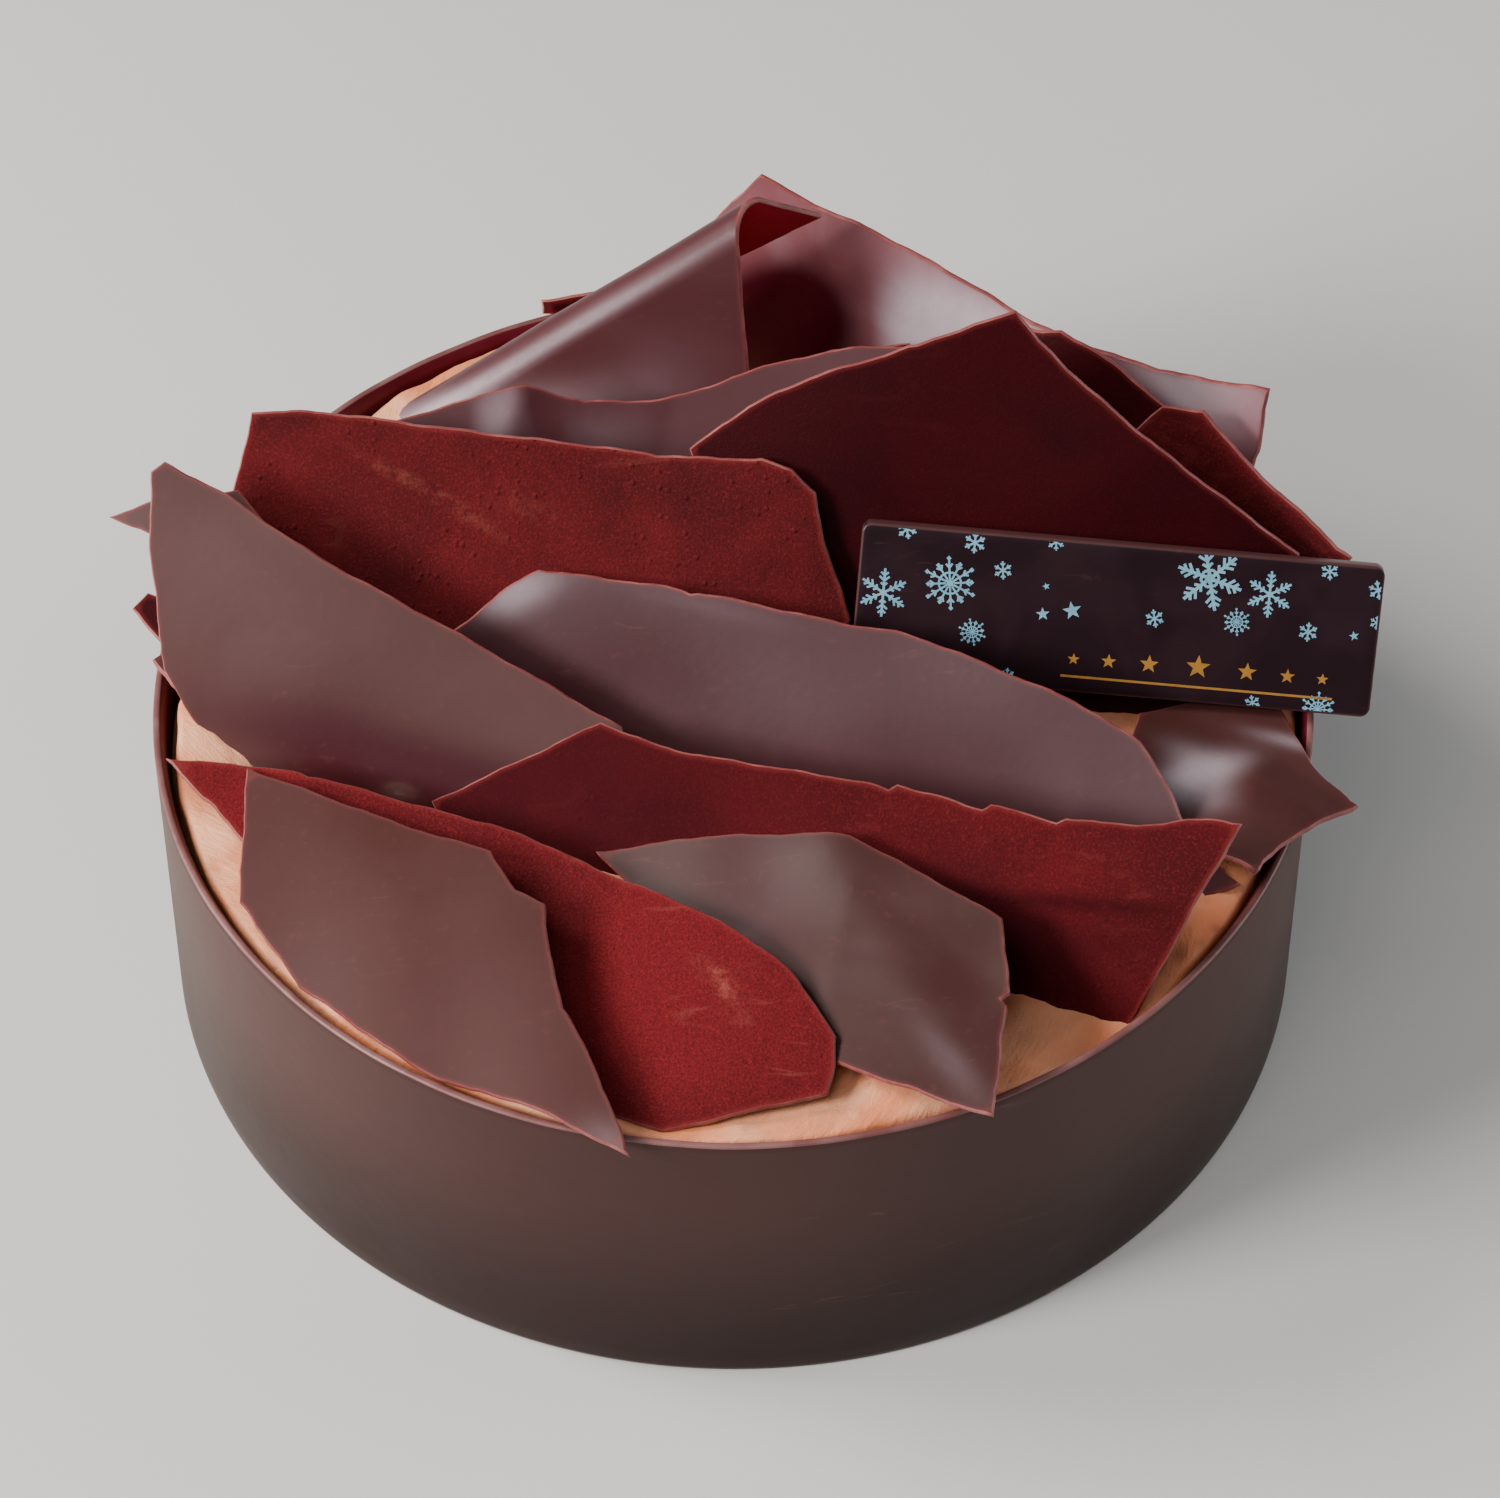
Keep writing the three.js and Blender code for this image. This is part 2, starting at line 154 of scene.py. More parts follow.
def tinted(tree, colour, mask, amount, tint):
    return mixed(tree, times(tree, mask, amount), colour, srgb(*tint))


def noise(tree, at, size, **inputs):
    return node(tree, "ShaderNodeTexNoise", Vector=at, Scale=size, **inputs).outputs[0]


def pointValue(tree, name):
    # a number that the mesh keeps on its points
    return node(tree, "ShaderNodeAttribute", dict(attribute_name=name)).outputs["Fac"]


def newGroup(name, inputs, outputs):
    group = bpy.data.node_groups.new(name, "ShaderNodeTree")
    for label, value in inputs.items():
        kind = "NodeSocketFloat" if isinstance(value, float) else "NodeSocketVector"
        socket = group.interface.new_socket(name=label, in_out="INPUT", socket_type=kind)
        if value is not None:
            socket.default_value = value
    for label in outputs:
        group.interface.new_socket(name=label, in_out="OUTPUT", socket_type="NodeSocketFloat")
    return group, group.nodes.new("NodeGroupInput").outputs, group.nodes.new("NodeGroupOutput").inputs


def send(group, outs, **values):
    for label, value in values.items():
        feed(group, outs[label], value)
    return group


def makeCloudGroup():
    # soft clouding of a chocolate surface: a wide haze and small flecks
    group, ins, outs = newGroup(
        "chocolateCloud", dict(Vector=None, Size=60.0, Amount=1.0), ["Haze", "Fleck", "Height"])
    wide = noise(group, ins["Vector"], ins["Size"], Detail=4.0, Distortion=0.6)
    fine = noise(group, ins["Vector"], times(group, ins["Size"], 14.0), Detail=3.0)
    return send(
        group, outs,
        Haze=times(group, mapped(group, wide, 0.35, 0.72), ins["Amount"], True),
        Fleck=times(group, mapped(group, fine, 0.62, 0.72), ins["Amount"], True),
        Height=plus(group, times(group, wide, 0.7), times(group, fine, 0.3)))


def makeVelvetGroup():
    # the grain of sprayed cocoa butter: fine grit, scattered round grains, and dark pores
    group, ins, outs = newGroup(
        "cocoaVelvet", dict(Vector=None, Grit=3000.0, Grains=0.5), ["Grain", "Pore", "Height", "Smudge"])
    at, grit = ins["Vector"], ins["Grit"]
    smudge = noise(group, at, times(group, grit, 0.14), Detail=5.0, Roughness=0.75)
    grain = noise(group, at, grit, Detail=2.0, Roughness=0.7)
    cells = node(group, "ShaderNodeTexVoronoi", Vector=at, Scale=times(group, grit, 0.27)).outputs
    pick = node(group, "ShaderNodeSeparateColor", i0=cells["Color"]).outputs
    crowd = mapped(group, noise(group, at, 70.0, Detail=2.0), 0.35, 0.65, -0.25, 0.25)
    dot = mapped(group, cells["Distance"], 0.42, 0.05)
    some = mapped(group, plus(group, pick[0], crowd), 0.84, 0.94)
    few = mapped(group, pick[1], 0.92, 0.96)
    grains = times(group, times(group, dot, some), ins["Grains"])
    pore = times(group, dot, few, True)
    raised = plus(group, times(group, grain, 0.5), grains)
    height = maths(group, "SUBTRACT", raised, times(group, pore, 0.12))
    return send(group, outs, Grain=grain, Pore=pore, Height=height, Smudge=smudge)


def makeScuffGroup():
    # thin pale wisps where sheets have rubbed on each other
    group, ins, outs = newGroup(
        "chocolateScuff", dict(Vector=None, Stretch=(60.0, 400.0, 200.0), Rarity=0.66), ["Mask"])
    at = ins["Vector"]
    stretched = node(group, "ShaderNodeVectorMath", dict(operation="MULTIPLY"), i0=at, i1=ins["Stretch"])
    strokes = noise(group, stretched.outputs[0], 1.0, Detail=5.0, Roughness=0.62, Distortion=1.4)
    where = mapped(group, noise(group, at, 38.0, Detail=1.0), 0.5, 0.62)
    line = maths(group, "GREATER_THAN", strokes, ins["Rarity"])
    soft = mapped(group, maths(group, "SUBTRACT", strokes, ins["Rarity"]), 0.0, 0.1)
    return send(group, outs, Mask=times(group, times(group, soft, line), where, True))


cloudGroup = makeCloudGroup()
velvetGroup = makeVelvetGroup()
scuffGroup = makeScuffGroup()


def placed(tree, group, at, **values):
    made = tree.nodes.new("ShaderNodeGroup")
    made.node_tree = group
    for key, value in dict(Vector=at, **values).items():
        feed(tree, made.inputs[key], value)
    return made.outputs


def newMaterial(name):
    material = bpy.data.materials.new(name)
    material.use_nodes = True
    tree = material.node_tree
    at = tree.nodes.new("ShaderNodeTexCoord").outputs["Object"]
    return material, tree, tree.nodes["Principled BSDF"], at


def coated(tree, shader, colour, rough, **values):
    for key, value in dict(Base_Color=colour, Roughness=rough, **values).items():
        feed(tree, shader.inputs[key.replace("_", " ")], value)


def bumped(tree, shader, height, strength, distance):
    bump = node(tree, "ShaderNodeBump", Height=height, Strength=strength, Distance=distance)
    tree.links.new(bump.outputs[0], shader.inputs["Normal"])


def makeClouded(name, size, body, haze, rough, bump, **values):
    # a plain chocolate face that wanders between two colours
    material, tree, shader, at = newMaterial(name)
    cloud = placed(tree, cloudGroup, at, Size=size, Amount=1.0)
    coated(tree, shader, mixed(tree, cloud["Haze"], srgb(*body), srgb(*haze)), rough, **values)
    bumped(tree, shader, cloud["Height"], bump, 0.0003)
    return material


brownFinishes = dict(
    taupe=dict(body=(69, 32, 29), haze=(76, 43, 40), hazeAmount=0.7, rough=0.55, gloss=0.25, streak=0.12),
    slate=dict(body=(62, 32, 30), haze=(70, 46, 44), hazeAmount=0.8, rough=0.5, gloss=0.25, streak=0.15),
    mauve=dict(body=(72, 38, 36), haze=(81, 50, 48), hazeAmount=0.6, rough=0.42, gloss=0.3, streak=0.12),
    plum=dict(body=(76, 38, 42), haze=(86, 50, 56), hazeAmount=0.45, rough=0.38, gloss=0.34, streak=0.1),
    dusk=dict(body=(64, 30, 34), haze=(72, 39, 45), hazeAmount=0.6, rough=0.44, gloss=0.26, streak=0.12),
    # a mauve painted far lighter than the others, a painted sheen for the rearmost sheet
    paintedSheenMauve=dict(body=(122, 68, 74), haze=(148, 110, 118), hazeAmount=0.8, rough=0.32, gloss=0.6, streak=0.08),
)

redFinishes = dict(
    bright=dict(body=(102, 18, 24), dark=(80, 11, 17), pale=(150, 78, 66), rough=0.85,
                grain=0.8, lumps=0.3, smear=0.3, gloss=0.15),
    velvet=dict(body=(84, 12, 18), dark=(62, 6, 11), pale=(132, 56, 52), rough=0.9,
                grain=0.6, lumps=0.4, smear=0.12, gloss=0.15),
    smeared=dict(body=(90, 17, 21), dark=(62, 8, 12), pale=(118, 56, 46), rough=0.85,
                 grain=0.65, lumps=0.8, smear=0.3, gloss=0.15),
    smooth=dict(body=(51, 2, 8), dark=(41, 1, 6), pale=(96, 36, 34), rough=0.5,
                grain=0.12, lumps=0.03, smear=0.06, gloss=0.1),
    # inner: the red inside the fold, far lighter than the other reds, painted light falling into it
    inner=dict(body=(186, 30, 50), dark=(166, 22, 40), pale=(210, 90, 80), rough=0.8,
               grain=0.4, lumps=0.1, smear=0.0, gloss=0.15),
)

# what lies on the two chocolates: a painted highlight, painted shade, flecks, rub streaks, grain, and a
# painted highlight along the thin margin
brownMarks = dict(
    paintedHighlight=(186, 170, 178), paintedShade=(58, 2, 15), fleck=(120, 60, 52), streak=(126, 78, 70), thin=(120, 54, 52),
)
redMarks = dict(
    paintedShade=(52, 0, 8), pore=(34, 4, 8), litGrain=(158, 48, 48), darkGrain=(44, 4, 8), thin=(146, 52, 50),
)


def makeBrown(name, look):
    material, tree, shader, at = newMaterial(name)
    cloud = placed(tree, cloudGroup, at, Size=55.0, Amount=look["hazeAmount"])
    scuff = placed(tree, scuffGroup, at, Stretch=(90.0, 500.0, 300.0), Rarity=0.6)
    # thin: a painted highlight along the broken edge
    thin = mapped(tree, pointValue(tree, "rim"), 0.8, 0.0)
    tone = pointValue(tree, "tone")
    clouded = mapped(tree, cloud["Height"], 0.2, 0.7, 0.75, 1.0)
    # tone above 0: a painted highlight, broken up by the clouding; tone below 0: painted shade
    paintedHighlight = times(tree, mapped(tree, tone, 0.0, 1.0), clouded, True)
    colour = mixed(tree, cloud["Haze"], srgb(*look["body"]), srgb(*look["haze"]))
    colour = mixed(tree, paintedHighlight, colour, srgb(*brownMarks["paintedHighlight"]))
    colour = mixed(tree, mapped(tree, tone, 0.0, -1.0), colour, srgb(*brownMarks["paintedShade"]))
    colour = tinted(tree, colour, cloud["Fleck"], 0.14, brownMarks["fleck"])
    colour = tinted(tree, colour, scuff["Mask"], look["streak"], brownMarks["streak"])
    colour = tinted(tree, colour, thin, 0.4, brownMarks["thin"])
    rough = plus(tree, times(tree, cloud["Haze"], 0.12), look["rough"])
    coated(tree, shader, colour, rough, Specular_IOR_Level=look["gloss"])
    bumped(tree, shader, cloud["Height"], 0.12, 0.0004)
    return material


def makeRed(name, look):
    material, tree, shader, at = newMaterial(name)
    velvet = placed(tree, velvetGroup, at, Grit=3200.0, Grains=look["lumps"])
    cloud = placed(tree, cloudGroup, at, Size=48.0, Amount=1.0)
    scuff = placed(tree, scuffGroup, at, Stretch=(70.0, 260.0, 260.0), Rarity=0.56)
    # thin: a painted highlight along the broken edge
    thin = mapped(tree, pointValue(tree, "rim"), 1.0, 0.0)
    tone = pointValue(tree, "tone")
    # tone above 0, broken up by smudges: pale rub marks, and a painted highlight above the creased red
    # sheet's crease
    rubsAndPaintedLight = times(tree, mapped(tree, tone, 0.0, 1.0), mapped(tree, velvet["Smudge"], 0.4, 0.62))
    lit = mapped(tree, velvet["Grain"], 0.5, 0.7)
    dark = mapped(tree, velvet["Grain"], 0.5, 0.3)
    colour = mixed(tree, cloud["Haze"], srgb(*look["body"]), srgb(*look["dark"]))
    colour = mixed(tree, rubsAndPaintedLight, colour, srgb(*look["pale"]))
    colour = tinted(tree, colour, velvet["Pore"], 0.12 * look["grain"], redMarks["pore"])
    colour = tinted(tree, colour, lit, 0.3 * look["grain"], redMarks["litGrain"])
    colour = tinted(tree, colour, dark, 0.6 * look["grain"], redMarks["darkGrain"])
    colour = tinted(tree, colour, scuff["Mask"], look["smear"], look["pale"])
    # tone below 0: painted shade
    colour = mixed(tree, mapped(tree, tone, 0.0, -1.0), colour, srgb(*redMarks["paintedShade"]))
    colour = tinted(tree, colour, thin, 0.3, redMarks["thin"])
    coated(tree, shader, colour, look["rough"], Specular_IOR_Level=look["gloss"])
    bumped(tree, shader, velvet["Height"], 0.25 + 0.75 * look["grain"], 0.0003)
    return material


brown = {name: makeBrown(name + "Chocolate", look) for name, look in brownFinishes.items()}
red = {name: makeRed(name + "Red", look) for name, look in redFinishes.items()}
# the broken edge: its own red and brown, made paler by a painted highlight and light shining through
brokenEdge = makeClouded(
    "brokenEdge", size=220.0, body=(130, 60, 60), haze=(160, 92, 88), rough=0.5, bump=0.5,
    Subsurface_Weight=0.15, Subsurface_Radius=(0.002, 0.0006, 0.0004))
print("chocolate finishes made")


def softDistance(d, soft):
    return np.sqrt(d * d + soft * soft) - soft


def aslant(u, v, turn):
    # distances along and across a direction, in degrees
    c, s = math.cos(math.radians(turn)), math.sin(math.radians(turn))
    return u * c + v * s, v * c - u * s


def curl(u, v, turn, flat, radius):
    q = aslant(u, v, turn)[0] - flat
    return q * q / (2 * radius)


def creased(u, v, x, y, turn, slope, soft):
    return slope * softDistance(aslant(u - x, v - y, turn)[1], soft)


def cone(u, v, x, y, reach, height):
    return height * np.maximum(0, 1 - np.sqrt((u - x) ** 2 + (v - y) ** 2 + 1) / reach)


def dent(u, v, x, y, reach, height):
    return height * np.exp(-((u - x) ** 2 + (v - y) ** 2) / (2 * reach ** 2))


def ridge(u, v, start, end, width, height):
    # a crease that fades to its far end
    along = np.array(end) - np.array(start)
    length = np.hypot(*along)
    along = along / length
    s = (u - start[0]) * along[0] + (v - start[1]) * along[1]
    q = -(u - start[0]) * along[1] + (v - start[1]) * along[0]
    fade = np.clip(1 - s / length, 0, 1) * np.clip(s / 2 + 1, 0, 1)
    return height * fade * np.exp(-softDistance(np.abs(q), 0.35) / width)


def pinch(u, v, x, y, first, second, slope, soft):
    # a raised fold that starts at a point, between two rays
    low = np.minimum(aslant(u - x, v - y, first)[1], -aslant(u - x, v - y, second)[1])
    return slope * (np.sqrt(np.maximum(low, 0) ** 2 + soft ** 2) - soft)


def lip(u, v, turn, start, strength):
    # the sheet turns over beyond a line
    q = np.maximum(0, aslant(u, v, turn)[0] - start)
    return strength * q * q


def waves(u, v, size, height, seed):
    # slow unevenness: five crossing swells
    pick = random.Random(seed)
    total = np.zeros_like(u)
    for _ in range(5):
        turn, phase = pick.uniform(0, math.tau), pick.uniform(0, math.tau)
        span = size * pick.uniform(0.6, 1.5)
        swell = np.sin((u * math.cos(turn) + v * math.sin(turn)) * math.tau / span + phase)
        total = total + height / 2.2 * swell
    return total


bends = dict(curl=curl, fold=creased, cone=cone, dent=dent, ridge=ridge, pinch=pinch, lip=lip, waves=waves)


def bendHeight(terms, u, v):
    # how far a sheet leaves its own plane, in mm
    height = np.zeros_like(u)
    for kind, *values in terms:
        height = height + bends[kind](u, v, *values)
    return height


sheetCut = dict(
    thickness=0.85, spacing=1.1, wobble=0.11,
    edgeInset=0.22, edgeFlat=0.45,   # how far in the faces end, and the edge's flat share
    flatten=17,                      # a corner that turns less, in degrees, is rounded
)

breakLine = dict(
    swells=[(11.0, 0.9), (4.3, 0.35), (2.1, 0.12), (1.2, 0.12)],   # length in mm, share
    chips=(3, 6), chipWidth=(0.5, 1.1), chipDepth=(0.5, 1.6), chipShare=1.6,
)


def brokenOutline(outline, step, wobble, seed):
    # smooth through shallow corners, straight into sharp ones, then a little rough along the break
    corners = [Vector(p) for p in outline]
    count = len(corners)

    def tangent(i):
        before = corners[i] - corners[i - 1]
        after = corners[(i + 1) % count] - corners[i]
        if before.angle(after) > math.radians(sheetCut["flatten"]):
            return None
        return (before.normalized() + after.normalized()).normalized()

    path = []
    for i, a in enumerate(corners):
        b = corners[(i + 1) % count]
        length, straight = (b - a).length, (b - a).normalized()
        leave, arrive = tangent(i) or straight, tangent((i + 1) % count) or straight
        parts = max(2, round(length / step))
        for k in range(parts):
            t = k / parts
            path.append(a * (2 * t**3 - 3 * t**2 + 1) + leave * length * (t**3 - 2 * t**2 + t)
                        + b * (3 * t**2 - 2 * t**3) + arrive * length * (t**3 - t**2))
    path = np.array([list(p) for p in path])
    ahead = np.roll(path, -1, axis=0)
    if np.sum(path[:, 0] * ahead[:, 1] - path[:, 1] * ahead[:, 0]) < 0:
        path = path[::-1]
    pick = random.Random(seed)
    along = np.cumsum(np.hypot(*(path - np.roll(path, 1, axis=0)).T))
    rough = np.zeros(len(path))
    for size, share in breakLine["swells"]:
        turns = max(1, round(along[-1] / size))
        phase = pick.uniform(0, math.tau)
        drift = 1.3 * np.sin(along / size * 0.37)
        rough += share * np.sin(along / along[-1] * math.tau * turns + phase + drift)
    chips = np.zeros(len(path))
    for _ in range(pick.randint(*breakLine["chips"])):
        where, width = pick.uniform(0, along[-1]), pick.uniform(*breakLine["chipWidth"])
        chips += pick.uniform(*breakLine["chipDepth"]) * np.exp(-((along - where) / width) ** 2)
    return path + outward(path) * (wobble * (rough - chips * breakLine["chipShare"]))[:, None]


def outward(path):
    forward = np.roll(path, -1, axis=0) - np.roll(path, 1, axis=0)
    forward /= np.maximum(np.hypot(forward[:, 0], forward[:, 1]), 1e-9)[:, None]
    return np.stack([forward[:, 1], -forward[:, 0]], 1)


def insidePoints(path, spacing, seed):
    # rows of points inside the outline, every other row shifted, a little out of line
    low, high = path.min(0), path.max(0)
    points = []
    rowHeight = spacing * 0.866
    for row in range(int((high[1] - low[1]) / rowHeight) + 2):
        x = np.arange(low[0] + (row % 2) * spacing / 2, high[0], spacing)
        points.append(np.stack([x, np.full_like(x, low[1] + row * rowHeight)], 1))
    points = np.concatenate(points)
    points = points + np.random.default_rng(seed).uniform(-0.12, 0.12, points.shape) * spacing
    x, y = points[:, 0][:, None], points[:, 1][:, None]
    ax, ay = path[:, 0][None], path[:, 1][None]
    bx, by = np.roll(path[:, 0], -1)[None], np.roll(path[:, 1], -1)[None]
    crosses = (ay > y) != (by > y)
    with np.errstate(divide="ignore", invalid="ignore"):
        hit = x < (bx - ax) * (y - ay) / (by - ay) + ax
    inside = (np.sum(crosses & hit, axis=1) % 2) == 1
    nearest = np.sqrt(((x - ax) ** 2 + (y - ay) ** 2).min(axis=1))
    return points[inside & (nearest > spacing * 0.62)]


def twiceArea(points, face):
    a, b, c = (points[i] for i in face[:3])
    return (b[0] - a[0]) * (c[1] - a[1]) - (b[1] - a[1]) * (c[0] - a[0])


def toneAt(spots, u, v):
    # soft painted places: centre, reach along and across, direction, amount (painted light above 0, painted
    # shade below)
    # above 0 is a painted highlight on brown faces and mostly a pale rub mark on red ones
    tone = np.zeros_like(u)
    for x, y, reachU, reachV, turn, amount in spots:
        a, b = aslant(u - x, v - y, turn)
        tone = tone + amount * np.exp(-(a / reachU) ** 2 - (b / reachV) ** 2)
    return np.clip(tone, -1, 1)


def sheetMesh(outline, surface, spacing, wobble, seed, spots=(), spotsBehind=False):
    # a triangulated sheet of even thickness with a rounded broken edge; surface(u, v) gives points in mm
    path = brokenOutline(outline, spacing, wobble, seed)
    inset = path - outward(path) * sheetCut["edgeInset"]
    ring = list(range(len(inset)))
    flat = [Vector(p) for p in np.concatenate([inset, insidePoints(inset, spacing, seed)])]
    made = delaunay_2d_cdt(flat, [], [ring], 1, 1e-5)
    uv = np.array([list(p) for p in made[0]])
    flatFaces = [list(f) for f in made[2]]
    place = {source: index for index, sources in enumerate(made[3]) for source in sources}
    kept = [i for i in ring if i in place]
    loop = [place[i] for i in kept]
    if twiceArea(uv, flatFaces[0]) < 0:
        flatFaces = [f[::-1] for f in flatFaces]

    def lifted(points, offset, step=0.05):
        u, v = points[:, 0], points[:, 1]
        du = surface(u + step, v) - surface(u - step, v)
        dv = surface(u, v + step) - surface(u, v - step)
        across = np.cross(du, dv)
        across /= np.linalg.norm(across, axis=1)[:, None]
        return surface(u, v) + across * offset

    half = sheetCut["thickness"] / 2
    flank = half * sheetCut["edgeFlat"]
    levels = [(uv, half), (uv, -half), (path[kept], flank), (path[kept], -flank)]
    points = np.concatenate([lifted(part, offset) for part, offset in levels])
    count, total = len(uv), len(loop)
    outer, under = 2 * count, 2 * count + total
    faces = [tuple(f) for f in flatFaces] + [tuple(count + i for i in reversed(f)) for f in flatFaces]
    slots = [0] * len(flatFaces) + [1] * len(flatFaces) + [2] * 3 * total
    creases = set()
    for k in range(total):
        n = (k + 1) % total
        a, b = loop[k], loop[n]
        faces += [(a, outer + k, outer + n, b), (outer + k, under + k, under + n, outer + n),
                  (under + k, count + a, count + b, under + n)]
        creases |= {tuple(sorted((a, b))), tuple(sorted((count + a, count + b)))}
    # distance from the broken edge, for the thin pale margin, a painted edge highlight
    far = np.sqrt(((uv[:, None, :] - path[None, :, :]) ** 2).sum(2).min(1))
    edge = np.zeros(2 * total)
    blank, spotted = np.zeros(count), toneAt(spots, uv[:, 0], uv[:, 1])
    sides = [blank, spotted] if spotsBehind else [spotted, blank]
    values = dict(rim=np.concatenate([far, far, edge]), tone=np.concatenate([*sides, edge]))
    return points, faces, slots, creases, values


def addPiece(name, points, faces, materials, recordSlot, cadNode=None, slots=None, creases=(), **values):
    mesh = bpy.data.meshes.new(name)
    mesh.from_pydata([tuple(p) for p in points * mm], [], faces)
    for material in materials:
        mesh.materials.append(material)
    if slots is not None:
        mesh.polygons.foreach_set("material_index", slots)
    mesh.polygons.foreach_set("use_smooth", [True] * len(mesh.polygons))
    for label, numbers in values.items():
        kept = mesh.attributes.new(label, "FLOAT", "POINT")
        kept.data.foreach_set("value", np.asarray(numbers, np.float32))
    for edge in mesh.edges if creases else ():
        if tuple(sorted(edge.vertices)) in creases:
            edge.use_edge_sharp = True
    mesh.validate()
    piece = bpy.data.objects.new(name, mesh)
    scene.collection.objects.link(piece)
    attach(piece, "root")
    if cadNode:
        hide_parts(cadNode)
    return piece


def turned(turn):
    # heading, roll and lean, in degrees
    heading, roll, lean = (Matrix.Rotation(math.radians(a), 3, axis) for a, axis in zip(turn, "ZYX"))
    return np.array(heading @ roll @ lean)


def placedBy(shape, points):
    # from a sheet's or the plaque's own axes to the cake's, in mm
    return np.array(shape["foot"], float) + np.asarray(points, float) @ turned(shape["turn"]).T
